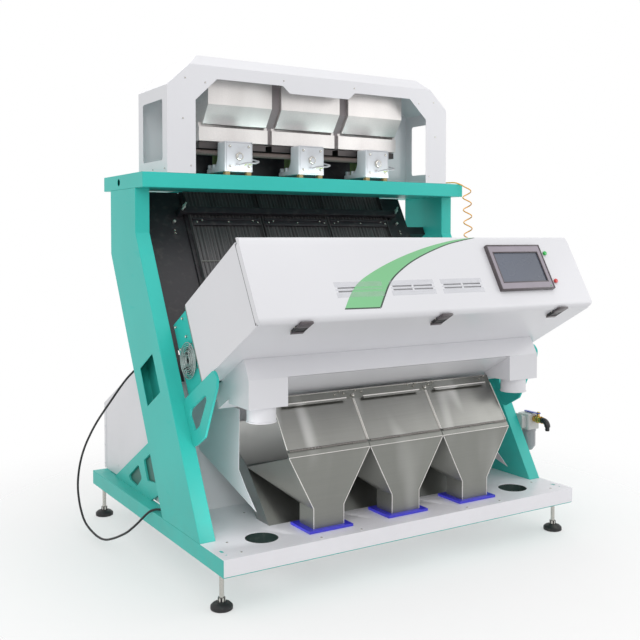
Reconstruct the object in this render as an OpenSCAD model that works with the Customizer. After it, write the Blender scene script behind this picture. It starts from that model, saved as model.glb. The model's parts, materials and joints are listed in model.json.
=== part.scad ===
// Optical colour sorter with three chutes.
// A leaning frame carries three feed hoppers, three vibrating trays and three chutes. The grain slides
// past an optical box in front and a second one behind, and is blown or falls into the discharge hoppers.
// Machine frame: X across the machine, Y to the rear from the base's front edge, Z up from the floor.

/* [Base] */
// Width of the base over its two rails
base_w = 1620; // [1560:2:1700]
// Length of the base from front to rear
base_l = 1355; // [1330:1:1420]
// Side of the square frame tube
tube = 60; // [50:1:70]
// Clear height under the base
base_z = 132; // [120:1:150]
// Thickness of the white sheet covers
sheet = 2; // [1.5:0.1:3]
// Diameter of a levelling foot's pad
pad_d = 76; // [60:1:90]
// Height of a levelling foot's pad
pad_h = 26; // [18:1:34]
// Diameter of a levelling foot's stem
stem_d = 16; // [12:1:20]
// Front feet, distance from the base's front edge
foot_front = 79; // [65:1:95]
// Rear feet, distance from the base's rear edge
foot_rear = 67; // [50:1:90]

/* [Frame] */
// Angle of the leaning posts from the vertical
lean = 29.4; // [28.5:0.1:30.5]
// Depth of a post, square to its lean
post_depth = 296; // [280:1:310]
// Depth of a post above its kink
neck_depth = 292; // [280:1:300]
// Height of the upright part of a post above its kink
neck_h = 177; // [160:1:200]
// Wall of a post
post_wall = 4; // [3:0.5:6]
// Kink in a post's front edge, from the base's front edge
kink_y = 790; // [775:1:805]
// Kink in a post's front edge, from the floor
kink_z = 1266; // [1250:1:1280]
// Height of the top frame
top_h = 60; // [50:1:70]
// Top frame's overhang in front of the posts
top_front = 83; // [70:1:95]
// Depth of the top frame
top_depth = 459; // [445:1:480]
// Thickness of the welded gusset plates
gusset_t = 10; // [6:1:14]

/* [Hood] */
// Width of the hood
hood_w = 1414; // [1390:2:1440]
// Depth of the hood
hood_depth = 313; // [300:1:330]
// Height of the hood's sides above the top frame
hood_side_h = 346; // [335:1:360]
// Height of the hood's front above the top frame
hood_front_h = 435; // [425:1:445]
// Height of the hood's roof above the top frame
hood_h = 481; // [470:1:500]
// Diameter of a grain inlet in the roof
inlet_d = 160; // [120:2:180]

/* [Feeders] */
// Distance between the chutes
pitch = 347; // [345:0.5:352]
// Distance between the vibrating drives
drive_pitch = 357; // [345:1:362]
// Width of a feed hopper
feed_w = 300; // [280:1:316]
// Width of a drive housing
drive_w = 130; // [110:1:150]
// Height of a drive housing
drive_h = 127; // [120:1:132]
// Height of the rubber mounts under a drive
mount_h = 20; // [14:1:24]
// Width of a feed tray
tray_w = 316; // [300:1:330]

/* [Chutes] */
// Depth of the chute floor behind the posts' front plane
chute_back = 93; // [85:1:105]
// Thickness of the chute floor
chute_t = 8; // [7:0.5:10]
// Number of grooves in a chute
groove_count = 16; // [8:1:20]
// Gap between two chutes
chute_gap = 10; // [6:1:16]

/* [Optical box] */
// How far the front optical box stands past the posts' inner faces, on each side
box_past = 4; // [1:1:9]
// Distance of the box's rear wall from the posts' front plane
box_back = 181; // [170:1:195]
// Distance of the cover's face from the posts' front plane
cover_face = 678; // [660:1:690]
// Top of the box, measured down the lean from the kink
box_top = 408; // [400:1:416]
// Height of the box down the lean
box_h = 304; // [298:1:312]
// Depth of the hinged cover
cover_depth = 26; // [24:1:32]
// Radius of the cover's corners
cover_r = 20; // [12:1:22]
// Width of the operator panel
hmi_w = 279; // [250:1:300]
// Height of the operator panel
hmi_h = 193; // [180:1:205]
// Diameter of a push button's cap
button_d = 20; // [16:1:24]
// Diameter of the chamber fan's frame opening
fan_d = 112; // [100:1:118]

/* [Discharge] */
// Height of a discharge hopper's fold above the deck
fold_h = 281; // [270:1:290]
// Distance of the fold from the base's front edge
fold_y = 77; // [70:1:85]
// Length of a hopper door up its slope
door_l = 178; // [165:1:182]
// Slope of a hopper door from the vertical
door_lean = 35; // [33:0.5:37]
// Width of a discharge outlet
outlet_w = 130; // [110:1:140]
// Depth of a discharge outlet
outlet_d = 98; // [85:1:104]
// Diameter of a suction stub
stub_d = 104; // [90:1:112]
// Length of a suction stub
stub_l = 56; // [45:1:70]

/* [Rear cabinet] */
// Rear face of the cabinet, from the base's front edge
cabinet_rear = 1380; // [1372:1:1395]
// Height of the cabinet's rear face
cabinet_h = 300; // [285:1:310]
// Diameter of the air tank
tank_d = 170; // [140:1:190]

/* [Air and power] */
// Diameter of the filter bowl
bowl_d = 62; // [52:1:68]
// Length of the filter bowl
bowl_l = 97; // [85:1:125]
// Diameter of the power cable
cable_d = 9; // [8:0.5:10]
// Diameter of the air hose
hose_d = 6.5; // [5.5:0.5:7]
// Outer diameter of the coiled air hose
coil_d = 54; // [48:1:60]

/* [Hidden] */
$fn = 48;

// Colours
green = [0.22, 0.68, 0.63];
white = [0.90, 0.90, 0.92];
steel = [0.72, 0.74, 0.74];
dark_steel = [0.52, 0.52, 0.52];
black = [0.10, 0.10, 0.11];
cast_grey = [0.82, 0.84, 0.86];
hose_orange = [0.96, 0.62, 0.15];

// Clearances: sliding fit on the radius, gap between moving faces, and a cut's overrun
fit = 0.1;
run = 0.4;
over = 1;

// Heights and edges that several pieces share
rail_x = base_w / 2 - tube / 2;
inner_x = base_w / 2 - tube;
base_top = base_z + tube;
deck_top = base_top + sheet;
top_z = kink_z + neck_h;
top_top = top_z + top_h;
top_y = kink_y - top_front;
foot_places = [[-rail_x, foot_front], [rail_x, foot_front],
    [-rail_x, base_l - foot_rear], [rail_x, base_l - foot_rear]];
lanes = [-1, 0, 1];

// A post's front edge at height z, and the same edge moved back square to the lean
function front_y(z) = kink_y - (kink_z - z) * tan(lean);
function plane_y(z, back) = front_y(z) + back / cos(lean);
post_y = front_y(base_top);

// Machine coordinates of a point given in the leaning frame (back from the front plane, up the lean)
function lean_y(back, up) = kink_y + back * cos(lean) + up * sin(lean);
function lean_z(back, up) = kink_z - back * sin(lean) + up * cos(lean);

// Leaning box edges, up the lean
box_hi = -box_top;
box_lo = -box_top - box_h;
box_front = -cover_face + cover_depth;
box_x = inner_x + box_past;
side_t = 3;
chamber_inset = 20;
chamber_x = box_x - chamber_inset;

// Front wall of the rear cabinet, behind the posts
rear_wall = post_depth + 4;

// The origin is at the middle of the whole machine's footprint
filter_gap = 20;
filter_head = [70, 70, 45];
x_right = base_w / 2 + filter_gap + filter_head[0];
x_left = base_w / 2;
y_front = lean_y(-cover_face + cover_r, box_lo + cover_r) - cover_r;
door_t = 4;
y_rear = cabinet_rear + door_t;

module at_origin() {
    translate([-(x_right - x_left) / 2, -(y_front + y_rear) / 2, 0]) children();
}

// Leaning frame: X across, Y back from the posts' front plane, Z up the lean from the kink
module lean_frame() {
    translate([0, kink_y, kink_z]) rotate([-lean, 0, 0]) children();
}

module both_sides() {
    children();
    mirror([1, 0, 0]) children();
}

// A block between two bounds on each axis
module block(x, y, z) {
    translate([x[0], y[0], z[0]]) cube([x[1] - x[0], y[1] - y[0], z[1] - z[0]]);
}

// A flat outline in Y and Z, pushed along X from x by t
module yz_plate(x, t) {
    translate([x, 0, 0]) rotate([90, 0, 90]) linear_extrude(t) children();
}

// A flat outline in X and Z, pushed along Y from y by t
module xz_plate(y, t) {
    translate([0, y + t, 0]) rotate([90, 0, 0]) linear_extrude(t) children();
}

module rod_x(x, y, z, d, l) {
    translate([x, y, z]) rotate([0, 90, 0]) cylinder(d = d, h = l);
}

module rod_y(x, y, z, d, l) {
    translate([x, y + l, z]) rotate([90, 0, 0]) cylinder(d = d, h = l);
}

module rounded_square(w, h, r) {
    square([w - 2 * r, h], center = true);
    square([w, h - 2 * r], center = true);
    for (sx = [-1, 1], sy = [-1, 1]) translate([sx * (w / 2 - r), sy * (h / 2 - r)]) circle(r);
}

// Base

cross_y = 560;
stem_reach = tube - 8;

module base_frame() {
    color(green) difference() {
        union() {
            both_sides() block([inner_x, base_w / 2], [0, base_l], [base_z, base_top]);
            for (y = [0, cross_y, base_l - tube])
                block([-inner_x - over, inner_x + over], [y, y + tube], [base_z, base_top]);
        }
        for (p = foot_places) translate([p[0], p[1], base_z - over])
            cylinder(d = stem_d + 2 * fit, h = stem_reach + over + run);
    }
}

hex_h = 14;
dome_h = pad_h / 2;
floor_rim = 2;

module levelling_foot(i) {
    pad_r = pad_d / 2;
    translate([foot_places[i][0], foot_places[i][1], 0]) {
        color(black) rotate_extrude() polygon([[0, 0], [pad_r - floor_rim, 0], [pad_r, floor_rim],
            [pad_r, dome_h], [pad_r * 0.8, pad_h * 0.78], [stem_d, pad_h], [0, pad_h]]);
        color(steel) translate([0, 0, pad_h - over]) cylinder(d = stem_d * 1.7, h = hex_h + over, $fn = 6);
        color(steel) translate([0, 0, pad_h]) cylinder(d = stem_d, h = base_z + stem_reach - pad_h);
    }
}

// Posts and gussets

function post_outline(w) = let (c = cos(lean), t = tan(lean), zb = base_top + w, zt = top_z - w) [
    [plane_y(zb, w), zb],
    [kink_y + w, kink_z + (w - w / c) / t],
    [kink_y + w, zt],
    [kink_y + neck_depth - w, zt],
    [kink_y + neck_depth - w, kink_z + (neck_depth - w - (post_depth - w) / c) / t],
    [plane_y(zb, post_depth - w), zb]];

window_back = 79;
window_up = -644;
window_w = 149;
window_h = 157;

module post() {
    difference() {
        yz_plate(inner_x, tube) polygon(post_outline(0));
        yz_plate(inner_x + post_wall, tube - 2 * post_wall) polygon(post_outline(post_wall));
        lean_frame() block([base_w / 2 - 2 * post_wall, base_w / 2 + over],
            [window_back, window_back + window_w], [window_up, window_up + window_h]);
    }
}

module posts() {
    color(green) both_sides() post();
}

// Outlines in the leaning frame, back from the front plane and up from the box's underside
front_gusset = [[0, 0], [-300, 0], [-309, -39], [-292, -62], [-110, -182], [0, -182]];
front_gusset_hole = [[-46, -51], [-196, -51], [-193, -72], [-91, -131], [-40, -133], [-27, -68]];
brace_reach = 678;
brace_hole_low = [[518, 31], [386, 115], [347, 65], [405, 18]];
brace_hole_high = [[325, 145], [215, 208], [140, 90], [285, 70]];

gusset_r = 22;
gusset_hole_r = 12;
brace_cut = 245;
brace_notch = 100;

// Rounds the outer corners of an outline
module rounded(r) { offset(r = r) offset(delta = -r) children(); }

module front_gusset_plate() {
    lean_frame() translate([0, 0, box_lo]) yz_plate(inner_x, gusset_t) difference() {
        rounded(gusset_r) polygon(front_gusset);
        rounded(gusset_hole_r) polygon(front_gusset_hole);
    }
}

// The rear brace stands on the rail, square to the post's rear face, and leaves the corner open
module rear_brace_plate() {
    foot_y = plane_y(base_top, post_depth);
    brace_up = brace_reach * cos(lean) * sin(lean);
    yz_plate(inner_x, gusset_t) translate([foot_y, base_top]) difference() {
        polygon([[brace_cut, 0], [brace_reach, 0], [brace_up * tan(lean), brace_up],
            [brace_notch * tan(lean), brace_notch]]);
        rounded(gusset_hole_r) polygon(brace_hole_low);
        rounded(gusset_hole_r) polygon(brace_hole_high);
    }
}

module frame_gussets() {
    color(green) both_sides() {
        front_gusset_plate();
        rear_brace_plate();
    }
}

// Top frame

shaft_half = 560;
shaft_setback = [258, 393];
shaft_front = top_y + shaft_setback[0];
shaft_rear = top_y + shaft_setback[1];
lift_hole_d = 29;

module frame_ring(inset, z) {
    difference() {
        block([-base_w / 2 + inset, base_w / 2 - inset], [top_y + inset, top_y + top_depth - inset], z);
        block([-shaft_half - inset, shaft_half + inset], [shaft_front - inset, shaft_rear + inset],
            [z[0] - over, z[1] + over]);
    }
}

module top_frame() {
    color(green) difference() {
        frame_ring(0, [top_z, top_top]);
        frame_ring(post_wall, [top_z + post_wall, top_top - post_wall]);
        both_sides() rod_x(base_w / 2 - 2 * post_wall, top_y + top_depth * 0.6, top_z + top_h / 2,
            lift_hole_d, 3 * post_wall);
    }
}

// Deck

deck_rear = plane_y(base_top, rear_wall) - run;
lip_gap = 4;
hole_d = 118;
port_inset = 152;
port_x = inner_x - port_inset;
port_y = 134;
outlet_y = 88;
reject_y = [232, 330];
slot_d = 12;
access_d = 9;
shelf_half = 515;

module front_deck() {
    color(white) difference() {
        union() {
            block([-base_w / 2, base_w / 2], [-sheet, post_y - run], [base_top, deck_top]);
            block([-inner_x + run, inner_x - run], [0, deck_rear], [base_top, deck_top]);
            block([-base_w / 2, base_w / 2], [-sheet, 0], [base_z + lip_gap, deck_top]);
        }
        both_sides() {
            translate([port_x, port_y, base_top - over]) cylinder(d = hole_d, h = sheet + 2 * over);
            translate([rail_x, foot_front, base_top - over]) linear_extrude(sheet + 2 * over)
                rounded_square(slot_d, 2 * slot_d, slot_d * 0.4);
            translate([rail_x, foot_front - 3 * slot_d, base_top - over])
                cylinder(d = access_d, h = sheet + 2 * over);
        }
        for (i = lanes) block([i * pitch - outlet_w / 2 + sheet, i * pitch + outlet_w / 2 - sheet],
            [outlet_y + sheet, outlet_y + outlet_d - sheet], [base_top - over, deck_top + over]);
        block([-shelf_half + sheet, shelf_half - sheet], [reject_y[0] + 2 * sheet, reject_y[1] - 2 * sheet],
            [base_top - over, deck_top + over]);
    }
}

panel_inset = 150;
panel_x = inner_x - panel_inset;
panel_low = 207;
panel_high = 427;
panel_outline = [[167, 82], [246, 147], [304, 204], [297, panel_high],
    [plane_y(deck_top + panel_high, rear_wall) - run, panel_high],
    [plane_y(deck_top + panel_low, rear_wall) - run, panel_low]];

module inner_side_panels() {
    color(white) both_sides() yz_plate(panel_x, sheet) translate([0, deck_top]) polygon(panel_outline);
}

// Hood

roof_half = 560;
rear_y = top_y + hood_depth;
window_half = 585;
side_window_w = 213;
side_window_h = 241;
side_window_r = 12;
tab_half = [150, 184];

// Outline across the machine, moved inwards by w
function hood_section(w) = let (hw = hood_w / 2, a = hw - roof_half, b = hood_h - hood_side_h,
    l = sqrt(a * a + b * b), side = hood_side_h - w * (l - b) / a, roof = roof_half - w * (l - a) / b)
    [[-hw + w, -over * sign(w)], [-hw + w, side], [-roof, hood_h - w], [roof, hood_h - w], [hw - w, side],
    [hw - w, -over * sign(w)]];

// Outline from front to rear, moved inwards by w, with a sloping strip along the front's top
function hood_side(w) = let (bevel = hood_h - hood_front_h, k = tan(22.5) * w)
    [[w, -over * sign(w)], [w, hood_front_h - k], [bevel + k, hood_h - w], [hood_depth - w, hood_h - w],
    [hood_depth - w, -over * sign(w)]];

module hood_body(w) {
    translate([0, top_y, top_top]) intersection() {
        xz_plate(0, hood_depth) polygon(hood_section(w));
        yz_plate(-hood_w / 2, hood_w) polygon(hood_side(w));
    }
}

module hood() {
    head = hood_front_h - 51;
    window = [[window_half, -over], [window_half, head - 90], [window_half - 95, head], [tab_half[1], head],
        [tab_half[0], head - 30]];
    color(white) difference() {
        hood_body(0);
        hood_body(sheet);
        translate([0, 0, top_top]) xz_plate(top_y - over, sheet + 2 * over)
            polygon(concat(window, [for (i = [len(window) - 1:-1:0]) [-window[i][0], window[i][1]]]));
        translate([0, top_y + hood_depth / 2, top_top + hood_side_h / 2]) yz_plate(-hood_w, 2 * hood_w)
            rounded_square(side_window_w, side_window_h, side_window_r);
        for (i = lanes) translate([i * pitch, (feed_y + rear_y) / 2, top_top + hood_h - 2 * sheet])
            cylinder(d = inlet_d, h = 4 * sheet);
    }
}

// Feed hoppers: a straight bin, a sloping throat and a wider spout below a narrow slot

feed_setback = 73;
feed_rise = 402;
fold_rise = 294;
throat_rise = 219;
spout_rise = [149, 209];
feed_y = top_y + feed_setback;
feed_top = top_top + feed_rise;
feed_fold = top_top + fold_rise;
throat_z = top_top + throat_rise;
spout_z = [top_top + spout_rise[0], top_top + spout_rise[1]];
spout_w = 326;
throat_in = [55, 75];
spout_back = 8;
throat_y = [feed_y + throat_in[0], rear_y - 2 * sheet - throat_in[1]];
spout_y = [throat_y[0] + spout_back, throat_y[1] + spout_back];

function bin_outline(w) = [[feed_y + w, feed_top + over * sign(w)], [feed_y + w, feed_fold - w / 2],
    [throat_y[0] + w, throat_z - over * sign(w)], [throat_y[1] - w, throat_z - over * sign(w)],
    [rear_y - sheet - w, feed_fold - w / 2], [rear_y - sheet - w, feed_top + over * sign(w)]];

module feed_hopper() {
    difference() {
        yz_plate(-feed_w / 2, feed_w) polygon(bin_outline(0));
        yz_plate(-feed_w / 2 + sheet, feed_w - 2 * sheet) polygon(bin_outline(sheet));
    }
    difference() {
        block([-spout_w / 2, spout_w / 2], spout_y, spout_z);
        block([-spout_w / 2 + sheet, spout_w / 2 - sheet], [spout_y[0] + sheet, spout_y[1] - sheet],
            [spout_z[0] - over, spout_z[1] + over]);
    }
    both_sides() block([feed_w / 2 - sheet, spout_w / 2], [spout_y[0] + 4 * sheet, throat_y[1] - 4 * sheet],
        [spout_z[1] - 4 * sheet, throat_z + 4 * sheet]);
}

module feed_hoppers() {
    color(steel) for (i = lanes) translate([i * pitch, 0, 0]) feed_hopper();
}

// Vibrating drives

drive_setback = 71;
drive_y = top_y + drive_setback;
drive_d = 72;
drive_z = top_top + mount_h;
bed_h = 18;
bed_l = 180;
face_t = 3;
hub_d = 24;
mount_side = 22;
spring_t = 4;
spring_w = 100;
spring_back = [105, 150];
tray_gap = [3, 12];
tray_rise = 119;
spring_y = [drive_y + spring_back[0], drive_y + spring_back[1]];
tray_y = [drive_y + drive_d + tray_gap[0], rear_y - tray_gap[1]];
tray_z = top_top + tray_rise;
tray_wall = 26;
tray_foot = 12;

module drive_housing() {
    block([-drive_w / 2, drive_w / 2], [drive_y, drive_y + bed_l], [drive_z, drive_z + bed_h]);
    translate([0, drive_y + drive_d, drive_z + drive_h / 2]) rotate([90, 0, 0])
        linear_extrude(drive_d) rounded_square(drive_w, drive_h, 6);
    translate([0, drive_y, drive_z + drive_h / 2]) rotate([90, 0, 0])
        linear_extrude(face_t) rounded_square(drive_w - 12, drive_h - 12, 4);
    rod_y(0, drive_y - 3 * face_t, drive_z + drive_h / 2, hub_d, 3 * face_t);
    for (y = spring_y) block([-drive_w / 2, drive_w / 2], [y + spring_t, y + 5 * spring_t],
        [drive_z, drive_z + 2 * bed_h]);
}

module drive_housings() {
    color(cast_grey) for (i = lanes) translate([i * drive_pitch, 0, 0]) drive_housing();
}

module drive_mounts() {
    inset = mount_side / 2 + 4;
    color([0.45, 0.36, 0.22]) for (i = lanes, sx = [-1, 1], y = [drive_y + inset, drive_y + bed_l - inset])
        translate([i * drive_pitch + sx * (drive_w / 2 - inset), y, top_top])
            block([-mount_side / 2, mount_side / 2], [-mount_side / 2, mount_side / 2], [0, mount_h]);
}

module leaf_springs() {
    color([0.35, 0.42, 0.16]) for (i = lanes, y = spring_y)
        block([i * drive_pitch - spring_w / 2, i * drive_pitch + spring_w / 2], [y, y + spring_t],
            [drive_z + bed_h, tray_z - tray_foot - run]);
}

module feed_tray() {
    difference() {
        block([-tray_w / 2, tray_w / 2], tray_y, [tray_z, tray_z + tray_wall]);
        block([-tray_w / 2 + sheet, tray_w / 2 - sheet], [tray_y[0] + sheet, tray_y[1] + over],
            [tray_z + sheet, tray_z + tray_wall + over]);
    }
}

module feed_trays() {
    color(steel) for (i = lanes) {
        translate([i * pitch, 0, 0]) feed_tray();
        block([i * drive_pitch - spring_w / 2, i * drive_pitch + spring_w / 2],
            [spring_y[0] - spring_t, spring_y[1] + 2 * spring_t], [tray_z - tray_foot, tray_z]);
    }
}

// Chutes and their frame, in the leaning frame

chute_w = pitch - chute_gap;
chute_up = [-470, 318];
chute_lip = 12;
lip_t = 4;
groove_depth = 3;
stringer_w = 24;
stringer_t = 9;
cross_side = 40;
cross_up = [-300, 60];
wing_gap = 16.5;
wing_open = 100;
wing_in = 1.5 * pitch + wing_gap;
wing_t = 3;
wing_up = [-470, 260];
frame_y = chute_back + chute_t;
cross_front = frame_y + stringer_t;

module chute() {
    inside = chute_w - 2 * lip_t;
    step = inside / groove_count;
    difference() {
        block([-chute_w / 2, chute_w / 2], [chute_back - chute_lip, frame_y], chute_up);
        block([-inside / 2, inside / 2], [chute_back - chute_lip - over, chute_back],
            [chute_up[0] - over, chute_up[1] + over]);
        for (g = [0:groove_count - 1])
            block([-inside / 2 + (g + 0.15) * step, -inside / 2 + (g + 0.85) * step],
                [chute_back - over, chute_back + groove_depth], [chute_up[0] - over, chute_up[1] + over]);
    }
}

module chutes() {
    color([0.18, 0.18, 0.20]) lean_frame() for (i = lanes) translate([i * pitch, 0, 0]) chute();
}

module chute_frame() {
    color(black) lean_frame() {
        for (s = [-1.5, -0.5, 0.5, 1.5])
            block([s * pitch - stringer_w / 2, s * pitch + stringer_w / 2], [frame_y, cross_front],
                [chute_up[0], wing_up[1]]);
        for (up = cross_up)
            block([-inner_x, inner_x], [cross_front, cross_front + cross_side], [up, up + cross_side]);
        block([-inner_x + run, -wing_in], [cross_front - wing_t, cross_front], wing_up);
        block([wing_in, inner_x - wing_open], [cross_front - wing_t, cross_front], wing_up);
    }
}

bar_up = [135, 165];
bar_t = 20;
bar_half = 545;
bar_end = 566;
screw_d = 14;
screw_l = 18;

module chute_clamp_bar() {
    bar_y = chute_back - chute_lip;
    lean_frame() {
        color(black) block([-bar_end, bar_end], [bar_y - bar_t, bar_y], bar_up);
        color(black) both_sides() block([bar_half, bar_end], [bar_y, cross_front - wing_t], bar_up);
        color(steel) both_sides() {
            rod_y((bar_half + bar_end) / 2, bar_y - bar_t - screw_l, (bar_up[0] + bar_up[1]) / 2,
                screw_d, screw_l);
            rod_x((bar_half + bar_end) / 2 - screw_d, bar_y - bar_t - screw_l * 0.7,
                (bar_up[0] + bar_up[1]) / 2, screw_d / 2, 2 * screw_d);
        }
    }
}

// Front optical box, in the leaning frame

view_half = 540;
view_up = [-622, -502];
glass_t = 6;
glass_edge = 12;
camera_size = [80, 120, 60];
lens_d = 40;
lens_l = 45;
shelf_t = 3;
shelf_up = (view_up[0] + view_up[1]) / 2 - camera_size[2] / 2;
camera_back = 330;
lamp_d = 26;
lamp_back = 36;
lamp_ups = [view_up[0] - 30, view_up[1] + 30];
clip_side = 34;
clip_t = 4;
knuckle_d = 10;
knuckle_l = 40;
pin_d = 5;
hinge_inset = 154;
hinge_x = [-box_x + hinge_inset, 0, box_x - hinge_inset];
hinge_up = box_hi + knuckle_d / 2;
hinge_back = box_front - run / 2;

// Clips at both ends of the lamps, on a wall whose inner face is at y and which faces the side s
module lamp_clips(y, s) {
    both_sides() for (up = lamp_ups)
        block([view_half + glass_edge, view_half + glass_edge + clip_t],
            [min(y, y + s * (lamp_back + clip_side / 2)), max(y, y + s * (lamp_back + clip_side / 2))],
            [up - clip_side / 2, up + clip_side / 2]);
}

module front_box() {
    inner = box_x - sheet;
    color(white) lean_frame() {
        difference() {
            block([-box_x, box_x], [box_front, -box_back], [box_lo, box_hi]);
            block([-inner, inner], [box_front - over, -box_back - sheet], [box_lo + sheet, box_hi - sheet]);
            block([-view_half, view_half], [-box_back - sheet - over, -box_back + over], view_up);
        }
        block([-inner - sheet / 2, inner + sheet / 2],
            [-box_back - camera_back, -box_back - lamp_back - lamp_d * 2], [shelf_up - shelf_t, shelf_up]);
        lamp_clips(-box_back - sheet, -1);
        for (x = hinge_x) {
            rod_x(x - knuckle_l / 2, hinge_back, hinge_up, knuckle_d, knuckle_l);
            rod_x(x - 1.5 * knuckle_l, hinge_back, hinge_up, pin_d, 3 * knuckle_l);
            block([x - knuckle_l / 2, x + knuckle_l / 2], [hinge_back, hinge_back + 2 * knuckle_d],
                [box_hi - sheet / 2, box_hi + sheet]);
        }
    }
}

module camera(s) {
    half = camera_size[1] / 2;
    block([-camera_size[0] / 2, camera_size[0] / 2], [-half, half], [0, camera_size[2]]);
    rod_y(0, s > 0 ? half - over : -half - lens_l + over, camera_size[2] / 2, lens_d, lens_l);
}

module cameras() {
    color(black) lean_frame() for (i = lanes) translate([i * pitch, 0, shelf_up]) {
        translate([0, -box_back - camera_back + camera_size[1] / 2, 0]) camera(1);
        translate([0, rear_wall + camera_back - camera_size[1] / 2, 0]) camera(-1);
    }
}

module lamp_tubes() {
    lamp_half = view_half + glass_edge;
    color([0.95, 0.96, 1.0]) lean_frame()
        for (up = lamp_ups, y = [-box_back - sheet - lamp_back, rear_wall + sheet + lamp_back])
            rod_x(-lamp_half, y, up, lamp_d, 2 * lamp_half);
}

module optic_windows() {
    color([0.62, 0.75, 0.78]) lean_frame() for (y = [-box_back, rear_wall - glass_t])
        block([-view_half - glass_edge, view_half + glass_edge], [y, y + glass_t],
            [view_up[0] - glass_edge, view_up[1] + glass_edge]);
}

// Cover of the front box, a shallow tray with rounded corners, hinged along its top edge

cover_w = 2 * box_x + 4;
cover_wall = 2.5;
hmi_inset = 187;
hmi_x = box_x - hmi_inset - hmi_w / 2;
hmi_up = -542.5;
button_inset = 159;
button_x = box_x - button_inset;
button_ups = [-480, -604];
button_stem_d = 12;
cover_lip = box_lo - 2;
vent_x = -113.5;
vent_pitch = 229;
vent_up = -607;
vent_w = 84;
vent_h = 6;
vent_half = 46;
vent_rows = 13;

module cover_body(w, y) {
    h = box_hi - cover_lip;
    intersection() {
        translate([0, 0, (box_hi + cover_lip) / 2]) xz_plate(y, 2 * cover_depth)
            rounded_square(cover_w - 2 * w, h - 2 * w, cover_r - w);
        yz_plate(-cover_w / 2, cover_w) translate([y + cover_depth, (box_hi + cover_lip) / 2])
            rounded_square(2 * cover_depth, h - 2 * w, cover_r - w);
    }
}

module front_cover() {
    color(white) lean_frame() difference() {
        union() {
            difference() {
                intersection() {
                    cover_body(0, -cover_face);
                    block([-cover_w, cover_w], [-cover_face - over, box_front - run], [2 * box_lo, over]);
                }
                cover_body(cover_wall, -cover_face + cover_wall);
            }
            for (x = hinge_x, s = [-1, 1]) translate([x + s * (knuckle_l + run), 0, 0]) {
                rod_x(-knuckle_l / 2, hinge_back, hinge_up, knuckle_d, knuckle_l);
                block([-knuckle_l / 2, knuckle_l / 2], [hinge_back - 2 * knuckle_d, hinge_back - run],
                    [box_hi - cover_wall / 2, box_hi + sheet]);
            }
        }
        for (x = hinge_x) rod_x(x - 2 * knuckle_l, hinge_back, hinge_up, pin_d + 2 * fit, 4 * knuckle_l);
        for (up = button_ups) rod_y(button_x, -cover_face - over, up, button_stem_d + 2 * fit, cover_depth);
        for (i = lanes, sx = [-1, 1], sz = [-1, 1])
            translate([vent_x + i * vent_pitch + sx * vent_half, -cover_face, vent_up + sz * vent_rows / 2])
                block([-vent_w / 2, vent_w / 2], [-over, cover_wall + over], [-vent_h / 2, vent_h / 2]);
    }
}

hmi_t = 14;
screen_size = [232, 128];
screen_depth = 4;

module hmi_bezel() {
    color([0.55, 0.52, 0.58]) lean_frame() translate([hmi_x, 0, hmi_up]) difference() {
        xz_plate(-cover_face - hmi_t, hmi_t) rounded_square(hmi_w, hmi_h, 6);
        xz_plate(-cover_face - hmi_t - over, 2 * screen_depth + over) square(screen_size, center = true);
    }
}

module hmi_screen() {
    color([0.40, 0.43, 0.48]) lean_frame() translate([hmi_x, 0, hmi_up])
        xz_plate(-cover_face - hmi_t + screen_depth, screen_depth) square(screen_size, center = true);
}

press = 4;
cap_h = 6;

module push_button(up) {
    stand = press + 2 * run;
    lean_frame() {
        rod_y(button_x, -cover_face - stand - cap_h, up, button_d, cap_h);
        rod_y(button_x, -cover_face - stand - over, up, button_stem_d, stand + cover_wall + 2 * press);
    }
}

module start_button() { color([0.10, 0.65, 0.30]) push_button(button_ups[0]); }
module stop_button() { color([0.85, 0.10, 0.10]) push_button(button_ups[1]); }

// Draw latches under the box, whose levers close against the cover's lower lip

latch_inset = 170;
latch_x = [-box_x + latch_inset, 0, box_x - latch_inset];
latch_back = box_front + 32;
latch_w = 34;
cheek_t = 5;
cheek_l = 44;
lever_t = 9;
lever_l = 66;
latch_pin_d = 6;
lever_up = cover_lip - run - lever_t / 2;

module latch_bases() {
    color(black) lean_frame() for (x = latch_x) translate([x, latch_back, 0]) {
        both_sides() block([latch_w / 2 + run, latch_w / 2 + run + cheek_t], [-cheek_l / 2, cheek_l / 2],
            [lever_up - lever_t / 2, box_lo]);
        rod_x(-latch_w / 2 - cheek_t, 0, lever_up, latch_pin_d, latch_w + 2 * cheek_t);
    }
}

module latch_lever(i) {
    color(black) lean_frame() translate([latch_x[i], latch_back, lever_up]) difference() {
        union() {
            rod_x(-latch_w / 2, 0, 0, lever_t, latch_w);
            block([-latch_w / 2, latch_w / 2], [-lever_l, 0], [-lever_t / 2, lever_t / 2]);
        }
        rod_x(-latch_w, 0, 0, latch_pin_d + 2 * fit, 2 * latch_w);
    }
}

// Sorting chamber between the front box and the posts

fan_back = -80;
fan_up = -588;
fan_side = 120;
fan_depth = 38;
guard_d = 4;
guard_rings = [40, 72, 104, 134];
guard_gap = 10;
motor_d = 44;
shaft_d = 6;

module chamber_sides() {
    color(green) lean_frame() {
        difference() {
            block([-chamber_x, -chamber_x + side_t], [-box_back, 0], [box_lo, box_hi]);
            rod_x(-chamber_x - over, fan_back, fan_up, fan_d, side_t + 2 * over);
        }
        block([chamber_x - side_t, chamber_x], [-box_back, 0], [box_lo, box_hi]);
    }
}

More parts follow.
